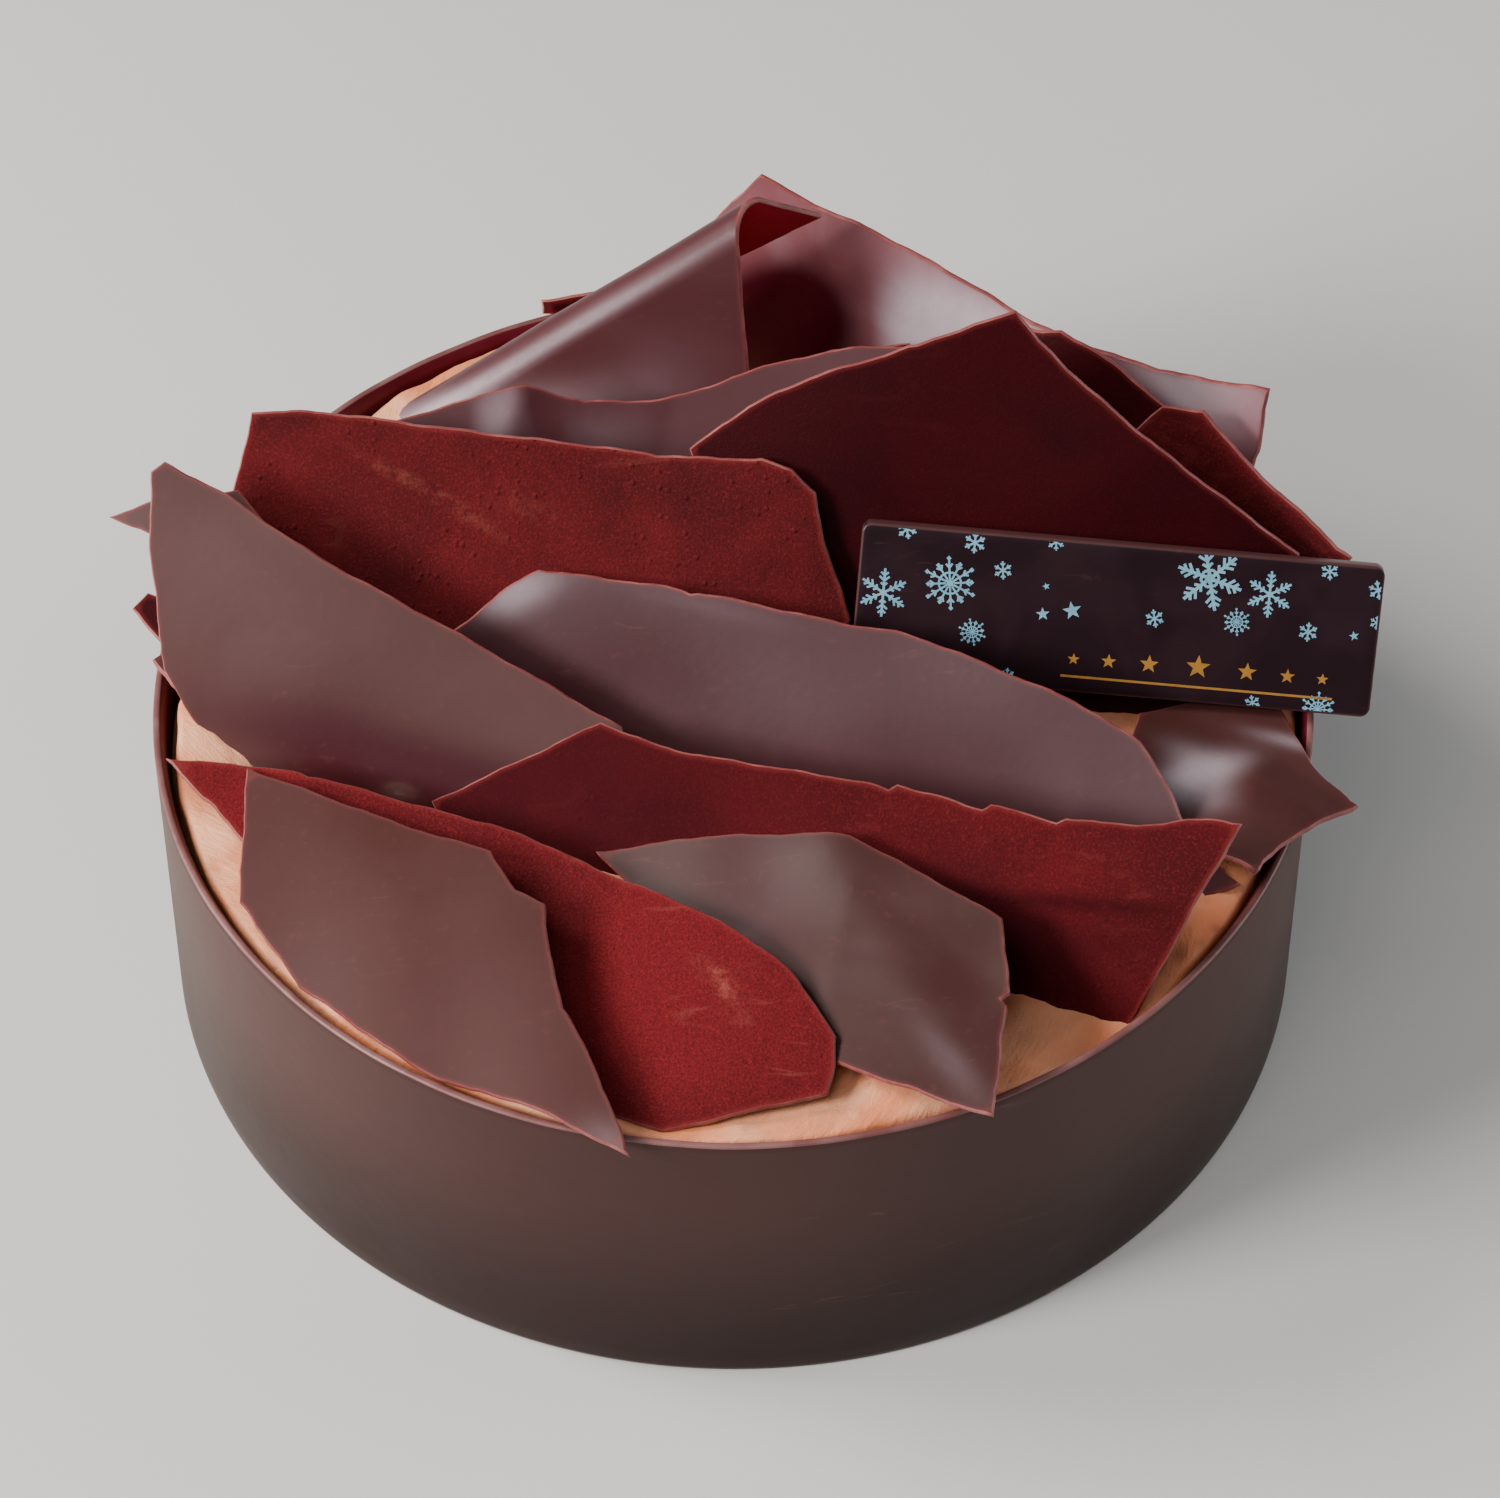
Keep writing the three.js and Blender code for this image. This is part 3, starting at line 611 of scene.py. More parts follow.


# outline in the sheet's own plane; a bend's numbers are those of its function above, and tone's are toneAt's
# tone above 0: painted highlight on brown faces, rub marks and a painted highlight on red; below 0: painted
# shade
sheets = dict(
    frontLeftSheet=dict(
        node="front_left_sheet", foot=(-53, -50, 46.2), turn=(-33, -3.5, 16),
        front=brown["taupe"], back=red["smooth"],
        outline=[(-1, 0), (22, -3), (33, -1.5), (49, -1.5), (40.5, 5.5), (29, 14), (24.5, 19), (21.5, 23),
                 (17, 23), (11, 26.5), (-2, 25), (-25, 23.5), (-14.5, 6.5)],
        bend=[("curl", 0, 14, -900), ("curl", 90, 12, -150), ("waves", 30, 0.25, 3)],
        tone=[(-17, 14, 1.2, 6, 10, -0.25), (-9, 20, 0.9, 5, 20, -0.25), (46, -1, 6, 3, 0, 0.25)],
    ),
    frontRedSheet=dict(
        node="front_red_sheet", foot=(-72, -12, 45.8), turn=(-43, 1, 14),
        front=red["bright"], back=brown["mauve"],
        outline=[(1, -1), (16, -3), (29, -5), (51.5, -6.5), (73.4, -4.3), (86.5, -0.3), (98.9, 16.3),
                 (97.8, 18.8), (94.6, 22.6), (90.4, 24.2), (83.1, 25.9), (70, 25.1), (56, 22), (44.5, 19.5),
                 (32.5, 15), (16, 8.5), (9, 4.5)],
        bend=[("curl", 0, 60, 600), ("lip", 0, 55, -0.0012), ("curl", 90, 8, 200), ("waves", 34, 0.25, 5)],
        tone=[(79, 19.5, 4.5, 1.4, -6, 0.7), (84, 17, 2.5, 1.0, 10, 0.4), (93, 6, 6, 9, 0, -0.12)],
    ),
    crumpledSheet=dict(
        node="crumpled_sheet", foot=(-17, -28.5, 47.0), turn=(-43, -1, 21),
        front=brown["slate"], back=red["velvet"],
        outline=[(-1, 0), (20.5, -4), (44.5, -5.5), (56, -2.5), (66, 0.5), (61.5, 7), (57.9, 12.3),
                 (57.2, 13.2), (55.9, 13.3), (56.2, 14.6), (53.5, 17.5), (49, 22), (33.5, 20.5),
                 (26.5, 19.5), (19.5, 15.5), (9.5, 9)],
        bend=[("fold", 28, 16, -22, -0.07, 1.5), ("dent", 27, 17, 5, 1.2),
              ("pinch", 30, 16, -118, -2, 0.13, 0.8), ("waves", 26, 0.2, 7)],
        # the front red sheet's shadow painted along the lower left, and a painted highlight streak
        tone=[(20, 7, 17, 6, -22, -0.5), (57, 3.2, 9, 2.4, -14, 0.2), (40, 17, 12, 3, -8, -0.12),
              (36, 8, 5, 3, 30, 0.12)],
    ),
    creasedRedSheet=dict(
        node="creased_red_sheet", foot=(-39, -18, 43), turn=(-23, 0, 50),
        front=red["velvet"], back=brown["mauve"],
        outline=[(0, 1), (18.5, 17), (27, 16.5), (44, 18.5), (56, 20), (57.3, 19.9), (58.2, 20.9),
                 (69.6, 21.2), (70.4, 22.2), (79.2, 22.4), (80.2, 23.3), (88, 24.8), (98, 28.5), (101.5, 29),
                 (98.8, 17.5), (93.6, -1.2), (91, -5.5), (60, -6), (4, -3)],
        bend=[("fold", 98, 18, 13, -0.2, 0.3), ("waves", 30, 0.2, 9)],
        # painted shade along and below the crease and over the left, a painted highlight above the crease
        tone=[(87, 14.4, 15, 1.0, 13, -0.6), (89, 10.5, 14, 3.2, 12, -0.35), (84, 3, 16, 6, 8, -0.4),
              (86, 21, 16, 3, 8, 0.15), (70, 6, 9, 8, 0, -0.7), (14, 9, 44, 24, 0, -0.7),
              (58, 20, 3, 1.2, 0, 0.3)],
    ),
    tallLeftSheet=dict(
        node="tall_left_sheet", foot=(-67, -8.5, 43), turn=(-12, 0, 52),
        front=brown["mauve"], back=red["velvet"],
        outline=[(0, -0.5), (-8, 10), (-9.5, 17.5), (-11.5, 26.5), (-12.5, 35), (-11, 36.5), (-2.5, 33.5),
                 (8, 28.5), (29, 20.5), (52, 11.5), (60, -5), (30, -6), (1, -4)],
        bend=[("curl", 68, 14, -60), ("waves", 40, 0.2, 11)],
        # painted shade low down, and a small painted highlight near the bottom
        tone=[(16, 3.5, 19, 6, -8, -0.95), (38, 1, 14, 5, 0, -0.8), (25, -0.7, 2.2, 1.1, 0, 1.3),
              (12, 14, 22, 8, -20, -0.16)],
    ),
    middleSheet=dict(
        node="middle_sheet", foot=(-36, 5.5, 46), turn=(-23, 2, 50),
        front=brown["dusk"], back=red["velvet"],
        outline=[(-0.5, 4), (6, 13), (8, 15), (29, 18.5), (49, 20.5), (56, 21.5), (69.5, 21), (81, 20),
                 (89.5, 18), (94, 14.5), (98, 10), (96, -4), (6, -6)],
        bend=[("curl", 90, 8, -90), ("curl", 0, 60, 600), ("waves", 30, 0.25, 13)],
        tone=[(6, 11.5, 7, 3.5, 38, 0.5), (30, 17, 16, 1.5, 5, 0.12), (84, 12, 16, 6, -10, 0.05),
              (40, 4, 30, 5, 0, -0.12)],
    ),
    leftRedSheet=dict(
        node="left_red_sheet", foot=(-62, 8, 43), turn=(-10, 0, 50),
        front=red["smeared"], back=brown["mauve"],
        outline=[(-4, 32.5), (3.5, 33.5), (19.5, 33.5), (36.5, 33.5), (52.5, 33.5), (63, 34.5), (67, 33.5),
                 (70.5, 31), (72, 25), (75, 19), (76.5, 15), (70, -3), (10, -3), (-6, 21), (-4.5, 27.5)],
        bend=[("curl", 90, 14, 260), ("waves", 34, 0.3, 15)],
        tone=[(14, 27, 6, 0.5, -24, 0.5), (20, 25.5, 9, 0.6, -22, 0.55), (25, 22.5, 8, 0.8, -24, 0.6),
              (33, 24.5, 7, 2.2, -12, 0.35), (61, 22.5, 3.2, 0.6, 24, 0.55), (10, 6, 12, 6, 0, -0.35),
              (46, 14, 14, 5, 0, -0.15), (62, 18, 12, 12, 0, -0.25), (24, 12, 14, 5, 0, -0.2)],
    ),
    peakRedSheet=dict(
        node="peak_red_sheet", foot=(0, 3.4, 43), turn=(-5, 0, 59),
        front=red["smooth"], back=brown["plum"],
        outline=[(-7, 31), (-0.5, 36.5), (7, 41), (19.5, 46), (34, 52), (38, 47.5), (49.5, 38), (72, 22),
                 (64, -3), (6, -3)],
        bend=[("curl", 0, 40, -700), ("waves", 36, 0.2, 17)],
    ),
    rearLeftSheet=dict(
        node="rear_left_sheet", foot=(-42, 20, 43), turn=(0, 0, 45),
        front=brown["plum"], back=red["smooth"],
        outline=[(-2, 23), (6.5, 25.5), (11.5, 27), (15, 27.5), (20.5, 26), (30, 25.5), (38, 27), (43, 29),
                 (59, 32.5), (65, 32.5), (58, -3), (10, -3)],
        bend=[("cone", 14, 26, 20, 1.8), ("ridge", (14.8, 27.6), (9, 10), 1.8, 0.8), ("curl", 0, 45, 300),
              ("waves", 26, 0.15, 19)],
        tone=[(10.5, 23, 4, 6, -22, 0.4), (17.2, 24, 1.3, 5, 14, -0.3), (25, 21, 8, 4, 0, 0.2),
              (4, 23, 4, 3, 0, -0.3)],
    ),
    rearRedSliver=dict(
        node="rear_red_sliver", foot=(4, 25.5, 43), turn=(1, 0, 46),
        front=red["smooth"], back=brown["plum"],
        outline=[(-0.5, 25), (4, 26.5), (12, 28.5), (14, 28.5), (20, 29), (28, 16), (24, -3), (4, -3)],
        bend=[("waves", 26, 0.15, 21)],
    ),
    rearRedSheet=dict(
        node="rear_red_sheet", foot=(24, 29, 43), turn=(-22, 0, 62),
        front=red["smooth"], back=brown["plum"],
        outline=[(5.5, 33.5), (10.5, 33), (14, 34), (19.5, 32.5), (29.5, 28), (32.5, 24), (40, -3), (6, -3)],
        bend=[("curl", 0, 22, -260), ("waves", 30, 0.15, 23)],
    ),
    rightRedSheet=dict(
        node="right_red_sheet", foot=(42.6, 19.2, 43), turn=(-30, 0, 61),
        front=red["velvet"], back=brown["mauve"],
        outline=[(3.5, 24.5), (7, 30), (12.5, 31.5), (17.5, 28.5), (37, 20), (32.5, 6.5), (32, -3), (8, -3)],
        bend=[("curl", 0, 20, -300), ("waves", 30, 0.15, 25)],
    ),
    tallRearSheet=dict(
        node="tall_rear_sheet", foot=(2, 62, 43), turn=(-30.5, 0, 76),
        front=brown["paintedSheenMauve"], back=red["smooth"],
        outline=[(-1.5, 31.5), (4.5, 30), (14.5, 29), (33, 26), (41.5, 24.5), (60.5, 26), (75.5, 30),
                 (75.5, 18), (70, -3), (-6, -3), (-14, 11), (-8.5, 20)],
        bend=[("curl", 0, 30, 420), ("waves", 44, 0.3, 27)],
        # painted sheen in the middle, and the folded sheet's shadow painted at the left
        tone=[(25, 18, 12, 8, 15, 1.0), (38, 21, 10, 5, 0, 0.5), (63, 24, 10, 6, 10, 0.7),
              (7, 12.5, 10, 7.5, 25, -1.8), (2, 4, 9, 8, 0, -1)],
    ),
    rightRimSheet=dict(
        node="right_rim_sheet", foot=(64, -34, 47.2), turn=(-40, 0, -4),
        front=brown["mauve"], back=red["smooth"],
        outline=[(2.4, -1.8), (2, 2.5), (2, 9), (3.5, 19.5), (-5, 21), (-14.5, 27.5), (-19.5, 26),
                 (-27.5, 14.5), (-23.5, 6.5), (-11.5, -0.2), (-4.5, -2.6)],
        bend=[("cone", -9, 14, 22, 2.2), ("pinch", -12.5, 19, -113, -3, 0.22, 0.5), ("waves", 18, 0.12, 29)],
        tone=[(-15, 8, 3.5, 9, -24, 0.7), (-11, 6, 5, 4, 0, 0.35), (-18, 12, 5, 3, 0, 0.3),
              (-4, 14, 4, 4, 0, -0.12), (-8, 23, 8, 1.6, 20, 0.4)],
    ),
    rightSmallChip=dict(
        node="right_small_chip", foot=(55, -38, 44), turn=(-10, 0, 12),
        front=brown["plum"], back=red["smooth"],
        outline=[(7.5, 6.5), (4, 9.5), (1, 9), (0, 3), (1.5, 2.5)], bend=[],
    ),
    leftBrownTip=dict(
        node="left_brown_tip", foot=(-78, -2, 43), turn=(-10, 0, 40),
        front=brown["mauve"], back=red["smooth"],
        outline=[(-6.5, 25.5), (-1.5, 28), (10, 31), (24, 18.5), (30, -1), (16, -1), (6, 21.5), (-1, 24)],
        bend=[("waves", 26, 0.12, 31)],
    ),
    leftRedChip=dict(
        node="left_red_chip", foot=(-78, 12, 48.4), turn=(-30, 8, 18),
        front=red["smooth"], back=brown["mauve"],
        outline=[(-0.5, 0), (0, 3), (6.5, 5), (12.5, 0), (5, -2)], bend=[],
    ),
    leftBrownChip=dict(
        node="left_brown_chip", foot=(-77, 4, 47.4), turn=(-30, 4, 2),
        front=brown["mauve"], back=red["smooth"],
        outline=[(1.5, 1), (2, 2.5), (6.5, 2), (11.5, -2), (6.5, -1.5), (5, -1)], bend=[],
    ),
    rearRedChip=dict(
        node="rear_red_chip", foot=(-26, 68, 47), turn=(8, 0, 62),
        front=red["smooth"], back=brown["mauve"],
        outline=[(0, 3), (10.5, 3.5), (18, 7), (16, 1), (8, 0.5), (0, 1)], bend=[],
    ),
)


def makeSheet(name, sheet, seed):
    def surface(u, v):
        return placedBy(sheet, np.stack([u, v, bendHeight(sheet["bend"], u, v)], -1))

    points, faces, slots, creases, values = sheetMesh(
        sheet["outline"], surface, sheetCut["spacing"], sheetCut["wobble"], seed, sheet.get("tone", ()))
    recordSlot = "red_chocolate" if sheet["front"].name.endswith("Red") else "brown_chocolate"
    materials = [sheet["front"], sheet["back"], brokenEdge]
    return addPiece(name, points, faces, materials, recordSlot, sheet["node"], slots, creases, **values)


for number, (sheetName, sheet) in enumerate(sheets.items()):
    makeSheet(sheetName, sheet, 100 + number)
print("broken sheets made:", len(sheets))


# the sheet folded back over itself: u runs along the fold, and s down from it, in front or behind
fold = dict(
    start=(-45.7, 53.1, 43), end=(1.4, 49.3, 84), up=(-0.658, -0.076, 0.749), radius=3.0, flapAngle=46,
    front=[(-7, 0), (4, 10), (30, 30), (38.5, 34.5), (49.5, 19), (56, 9.5), (62.6, 0)],
    back=[(64.2, 3.4), (64.5, 16.5), (52, 14.5), (14, 7)],
    ripple=("waves", 30, 0.2, 41), rippleShare=0.4, spacing=0.9, wobble=0.05, seed=71,
    # tone: painted highlights along the ridge and low on the brown outside
    tone=[(24, 2.2, 36, 1.0, 0, 0.5), (10, 6, 20, 5, 20, 0.6), (40, 14, 14, 9, 0, 0.12)],
)


def makeFold():
    start = np.array(fold["start"], float)
    along = np.array(fold["end"], float) - start
    along /= np.linalg.norm(along)
    up = np.array(fold["up"])
    up = up - along * (up @ along)
    up /= np.linalg.norm(up)
    side = np.cross(up, along)
    turn = math.radians(180 - fold["flapAngle"]) / 2
    radius = fold["radius"]

    def surface(u, s):
        bent = np.minimum(np.abs(s) / radius, turn)
        rest = np.maximum(0, np.abs(s) - turn * radius)
        y = -np.sign(s) * (radius * np.sin(bent) + rest * np.cos(bent))
        z = radius * np.cos(bent) - radius - rest * np.sin(bent)
        z = z + bendHeight([fold["ripple"]], u, s) * fold["rippleShare"]
        return start + u[:, None] * along + y[:, None] * side + z[:, None] * up

    outline = [(u, s) for u, s in fold["front"]] + [(u, -s) for u, s in fold["back"]]
    points, faces, slots, creases, values = sheetMesh(
        outline, surface, fold["spacing"], fold["wobble"], fold["seed"], fold["tone"], spotsBehind=True)
    # the sheet's first side looks into the fold, so the red comes first and the brown shows outside
    # the inner red stands for light inside the fold; the brown outside carries the painted highlights
    materials = [red["inner"], brown["plum"], brokenEdge]
    return addPiece(
        "foldedSheet", points, faces, materials, "brown_chocolate", "folded_sheet", slots, creases, **values)


makeFold()
print("folded sheet made")


def gridFaces(rows, columns, closed=False):
    # quads between rows of points that each run once round
    faces = []
    for i in range(rows if closed else rows - 1):
        j = (i + 1) % rows
        for k in range(columns):
            n = (k + 1) % columns
            faces.append((i * columns + k, i * columns + n, j * columns + n, j * columns + k))
    return faces


ringShape = dict(
    radius=75, height=46, wall=1.5, sectors=288,
    # foot: the darker red the ring turns to near its bottom, painted shade
    body=(62, 32, 30), haze=(70, 40, 37), foot=(30, 4, 5), rub=(132, 96, 86), sheen=(236, 220, 200),
    swayFrom=30, liftFrom=44,   # the heights where the wall starts to sway, and the top edge to rise and fall
)


def makeRingFinish():
    material, tree, shader, at = newMaterial("ringChocolate")
    cloud = placed(tree, cloudGroup, at, Size=30.0, Amount=0.8)
    scuff = placed(tree, scuffGroup, at, Stretch=(40.0, 40.0, 260.0), Rarity=0.62)
    # painted shade: darker and redder towards the ring's bottom
    low = mapped(tree, node(tree, "ShaderNodeSeparateXYZ", Vector=at).outputs[2], 0.036, 0.004)
    colour = mixed(tree, cloud["Haze"], srgb(*ringShape["body"]), srgb(*ringShape["haze"]))
    colour = tinted(tree, colour, low, 0.92, ringShape["foot"])
    colour = tinted(tree, colour, scuff["Mask"], 0.2, ringShape["rub"])
    rough = plus(tree, times(tree, cloud["Haze"], 0.1), 0.46)
    coated(tree, shader, colour, rough, Specular_IOR_Level=0.2, Sheen_Weight=0.19, Sheen_Roughness=0.35,
           Sheen_Tint=srgb(*ringShape["sheen"]))
    bumped(tree, shader, cloud["Height"], 0.2, 0.0005)
    return material


def makeRing():
    radius, height, sectors = ringShape["radius"], ringShape["height"], ringShape["sectors"]
    inner = radius - ringShape["wall"]
    outside = [(radius - 0.9, 0.0), (radius - 0.35, 0.08), (radius - 0.1, 0.3), (radius, 0.8)]
    outside += [(radius, z) for z in np.linspace(3, height - 1.5, 14)]
    rim = [(radius, height - 0.3), (radius - 0.08, height - 0.1), (radius - 0.22, height - 0.01),
           (radius - 0.5, height), (radius - 0.72, height - 0.02), (radius - 0.86, height - 0.12)]
    inside = [(inner + 0.4, height - 0.6), (inner + 0.12, height - 1.2)]
    inside += [(inner, z) for z in np.linspace(height - 1.9, 0.6, 10)] + [(inner, 0.0)]
    profile = outside + rim + inside

    points = []
    for r, z in profile:
        for k in range(sectors):
            angle = math.tau * k / sectors
            share = max(0.0, (z - ringShape["swayFrom"]) / 16)
            sway = 0.10 * math.sin(2 * angle + 0.7) + 0.05 * math.sin(5 * angle + 2.0)
            sway += 0.03 * math.sin(11 * angle)
            lift = 0.07 * math.sin(7 * angle + 1.0) + 0.05 * math.sin(17 * angle)
            lift += 0.03 * math.sin(41 * angle + 0.4)
            reach = r + sway * share - 0.02
            rise = (lift - 0.08) * max(0.0, (z - ringShape["liftFrom"]) / 2)
            points.append((reach * math.cos(angle), reach * math.sin(angle), z + rise))
    faces = gridFaces(len(profile), sectors, closed=True)
    first, last = len(outside), len(outside) + len(rim) - 1
    slots = [0 if i // sectors < first else 1 if i // sectors < last else 2 for i in range(len(faces))]
    materials = [
        makeRingFinish(),
        # the top edge: its own colour, made paler by a painted highlight
        makeClouded(
            "rimChocolate", size=160.0, body=(112, 68, 66), haze=(134, 92, 90), rough=0.38, bump=0.3),
        makeClouded(   # the inner face, deep and shaded
            "ringWallChocolate", size=120.0, body=(88, 12, 30), haze=(100, 24, 40), rough=0.5, bump=0.3,
            Specular_IOR_Level=0.2),
    ]
    return addPiece("chocolateRing", np.array(points), faces, materials, "ring_chocolate", "ring", slots)


makeRing()
print("ring made")


creamShape = dict(
    radius=73.1, top=43.0, sectors=420, rings=88,
    lift=1.9, liftFrom=52, liftTo=69,               # the cream rises a little towards the ring
    gap=0.3, gapDepth=4.5,
    gaps=[(174, 13, 1.6), (132, 26, 0.2)],          # where it stands off: direction, spread, width
    lip=[(0.0, 2.4), (0.0, 1.2), (0.08, 0.7), (0.3, 0.32), (0.65, 0.1), (1.1, 0.02)],   # inwards, down
    # x, y, reach, amount
    specks=[(55.5, -43.9, 0.9, 0.6), (60.3, -39.6, 0.8, 0.4), (58.2, -42.2, 0.7, 0.3)],
    # x, y, reaches, depth
    hollows=[(-52, -12, 16, 6, 4.0), (-30, -17, 16, 6, 4.0), (40, -53, 15, 8, 4.2), (19, -64, 6, 4, -0.6),
             (-6, -69, 12, 4, 1.5), (-49, 50.5, 5, 4, 2.4)],
    body=(230, 138, 92), haze=(246, 178, 138), fleck=(176, 104, 74), speck=(120, 40, 26),
)


def creamHeight(x, y):
    # spatula marks: broad passes, then fine drag lines that follow the ring
    r, angle = np.hypot(x, y), np.arctan2(y, x)
    broad = 0.45 * np.sin(0.24 * x + 0.15 * y + 0.9 * np.sin(0.045 * (y - 0.4 * x)))
    broad += 0.22 * np.sin(0.37 * y - 0.12 * x + 1.3)
    drift = 1.6 * np.sin(2.3 * angle + 0.4) + 0.9 * np.sin(5.1 * angle + 2.0)
    drift += 0.5 * np.sin(0.31 * x + 0.22 * y)
    finer = r + 0.6 * drift + 0.4 * np.sin(9 * angle)
    drag = 0.06 * np.sin((r + drift) * math.tau / 2.6) + 0.035 * np.sin(finer * math.tau / 1.35)
    lumps = 0.22 * np.sin(0.55 * x + 1.1 * np.sin(0.31 * y)) * np.sin(0.49 * y + 0.9 * np.sin(0.27 * x))
    lumps += 0.09 * np.sin(1.25 * x + 1.7 * np.sin(0.6 * y)) * np.sin(1.15 * y + 1.3 * np.sin(0.7 * x + 1))
    lift = np.clip((r - creamShape["liftFrom"]) / (creamShape["liftTo"] - creamShape["liftFrom"]), 0, 1)
    height = broad * 0.6 + lumps + drag * (0.6 + 0.4 * np.sin(3 * angle + 0.08 * r))
    height = height + creamShape["lift"] * lift * lift * (3 - 2 * lift)
    for cx, cy, reachX, reachY, depth in creamShape["hollows"]:
        height = height - depth * np.exp(-((x - cx) / reachX) ** 2 - ((y - cy) / reachY) ** 2)
    return height


def makeCreamFinish():
    material, tree, shader, at = newMaterial("creamFinish")
    cloud = placed(tree, cloudGroup, at, Size=70.0, Amount=1.0)
    fine = placed(tree, cloudGroup, at, Size=420.0, Amount=1.0)
    colour = mixed(tree, cloud["Haze"], srgb(*creamShape["body"]), srgb(*creamShape["haze"]))
    colour = tinted(tree, colour, fine["Fleck"], 0.2, creamShape["fleck"])
    colour = mixed(tree, pointValue(tree, "tone"), colour, srgb(*creamShape["speck"]))
    coated(tree, shader, colour, 0.5, Subsurface_Weight=0.4, Subsurface_Radius=(0.005, 0.002, 0.001))
    # the spatula's silk: fine lines that follow the ring, aslant
    x, y, _ = node(tree, "ShaderNodeSeparateXYZ", Vector=at).outputs
    around = maths(tree, "ARCTAN2", y, x)
    out = maths(tree, "SQRT", plus(tree, times(tree, x, x), times(tree, y, y)))
    slant = plus(tree, out, times(tree, around, 0.045))
    silkAt = node(tree, "ShaderNodeCombineXYZ", X=times(tree, slant, 900.0), Y=times(tree, around, 26.0))
    silk = noise(tree, silkAt.outputs[0], 1.0, Detail=4.0, Distortion=0.8)
    height = plus(tree, times(tree, fine["Height"], 0.6), times(tree, silk, 0.6))
    bumped(tree, shader, height, 0.6, 0.0006)
    return material


def makeCream():
    shape = creamShape
    sectors, radius, top = shape["sectors"], shape["radius"], shape["top"]
    angles = np.arange(sectors) * math.tau / sectors
    cos, sin = np.cos(angles), np.sin(angles)
    gap = np.full(sectors, shape["gap"])
    for towards, spread, extra in shape["gaps"]:
        gap = gap + extra * np.exp(-((np.degrees(angles) - towards) / spread) ** 2)
    ragged = 0.25 * np.sin(13 * angles + 0.5) + 0.18 * np.sin(29 * angles + 2.0) + 0.12 * np.sin(61 * angles)
    edge = radius - np.maximum(gap + ragged * (0.3 + 0.4 * gap), 0.1)
    foot = top - shape["gapDepth"]
    rows = []
    for r, z in ((40.0, 0.0), (radius - 0.6, 0.0), (radius, 0.6), (radius, 20.0), (radius, foot - 0.6),
                 (edge + 0.1, foot)):
        rows.append(np.stack([r * cos, r * sin, np.full(sectors, z)], 1))
    inner = edge - 1.5
    surfaceRows = [(edge - inset, drop) for inset, drop in shape["lip"]]
    surfaceRows += [(inner * share, 0.0) for share in np.linspace(1, 0, shape["rings"])[:-1]]
    for r, drop in surfaceRows:
        x, y = r * cos, r * sin
        rows.append(np.stack([x, y, top + creamHeight(x, y) - drop], 1))
    middle = top + float(creamHeight(np.zeros(1), np.zeros(1))[0])
    points = np.concatenate(rows + [np.array([[0, 0, middle], [0, 0, 0]])])
    faces = gridFaces(len(rows), sectors)
    peak = len(rows) * sectors
    for k in range(sectors):
        n = (k + 1) % sectors
        faces += [(peak - sectors + k, peak - sectors + n, peak), (n, k, peak + 1)]
    speck = np.zeros(len(points))
    for cx, cy, reach, amount in shape["specks"]:
        speck += amount * np.exp(-((points[:, 0] - cx) ** 2 + (points[:, 1] - cy) ** 2) / reach ** 2)
    speck = np.clip(speck, 0, 1)
    return addPiece("creamFilling", points, faces, [makeCreamFinish()], "cream", "filling", tone=speck)


makeCream()
print("cream made")


# the plaque, with its printed snowflakes and gold row
plaque = dict(
    foot=(15, -1.3, 50.5), turn=(-4.7, 2.6, 58.1),
    width=67.0, height=20.0, thickness=2.6, corner=1.3, edge=0.35,
    body=(32, 16, 22), haze=(42, 23, 30), rub=(84, 52, 48), paleEdge=(104, 66, 64),
    blue=(126, 180, 202), gold=(196, 140, 60), printLift=0.05, printSink=0.005, printMargin=0.35,
    flakes=[  # kind, centre, across
        ("branched", 3.4, 11.0, 6.4), ("lace", 11.8, 13.0, 6.6), ("small", 5.7, 19.6, 2.6),
        ("small", 14.5, 18.6, 2.8), ("small", 18.4, 15.3, 2.4), ("star", 24.1, 13.7, 1.0),
        ("star", 24.0, 10.0, 1.8), ("star", 27.7, 10.8, 2.5), ("lace", 15.2, 6.8, 3.4),
        ("small", 20.2, 1.5, 1.9), ("small", 24.8, 19.6, 2.2), ("feathered", 44.8, 16.6, 8.6),
        ("branched", 52.6, 15.2, 6.1), ("lace", 48.8, 11.2, 3.4), ("small", 38.3, 10.7, 2.4),
        ("small", 58.0, 10.7, 2.5), ("small", 59.9, 18.9, 2.3), ("small", 66.3, 17.0, 2.5),
        ("small", 66.6, 12.7, 1.8), ("star", 63.9, 10.7, 1.3), ("small", 51.9, 0.7, 2.0),
        ("lace", 60.3, 0.6, 4.3),
    ],
    stars=[(28.5, 4.4, 1.6), (33.0, 4.5, 2.0), (38.2, 4.6, 2.5), (44.5, 4.8, 3.2), (50.8, 4.7, 2.5),
           (56.0, 4.6, 2.0), (60.5, 4.6, 1.6)],
    ruleStart=(27.0, 2.1), ruleEnd=(62.0, 2.1), ruleWidth=0.3,
)


def roundedLoop(width, height, radius, inset, steps=8):
    loop = []
    r = max(radius - inset, 0.05)
    for cx, cy, start in ((width - radius, radius, -90), (width - radius, height - radius, 0),
                          (radius, height - radius, 90), (radius, radius, 180)):
        for k in range(steps + 1):
            angle = math.radians(start + 90 * k / steps)
            loop.append((cx + r * math.cos(angle), cy + r * math.sin(angle)))
    return loop


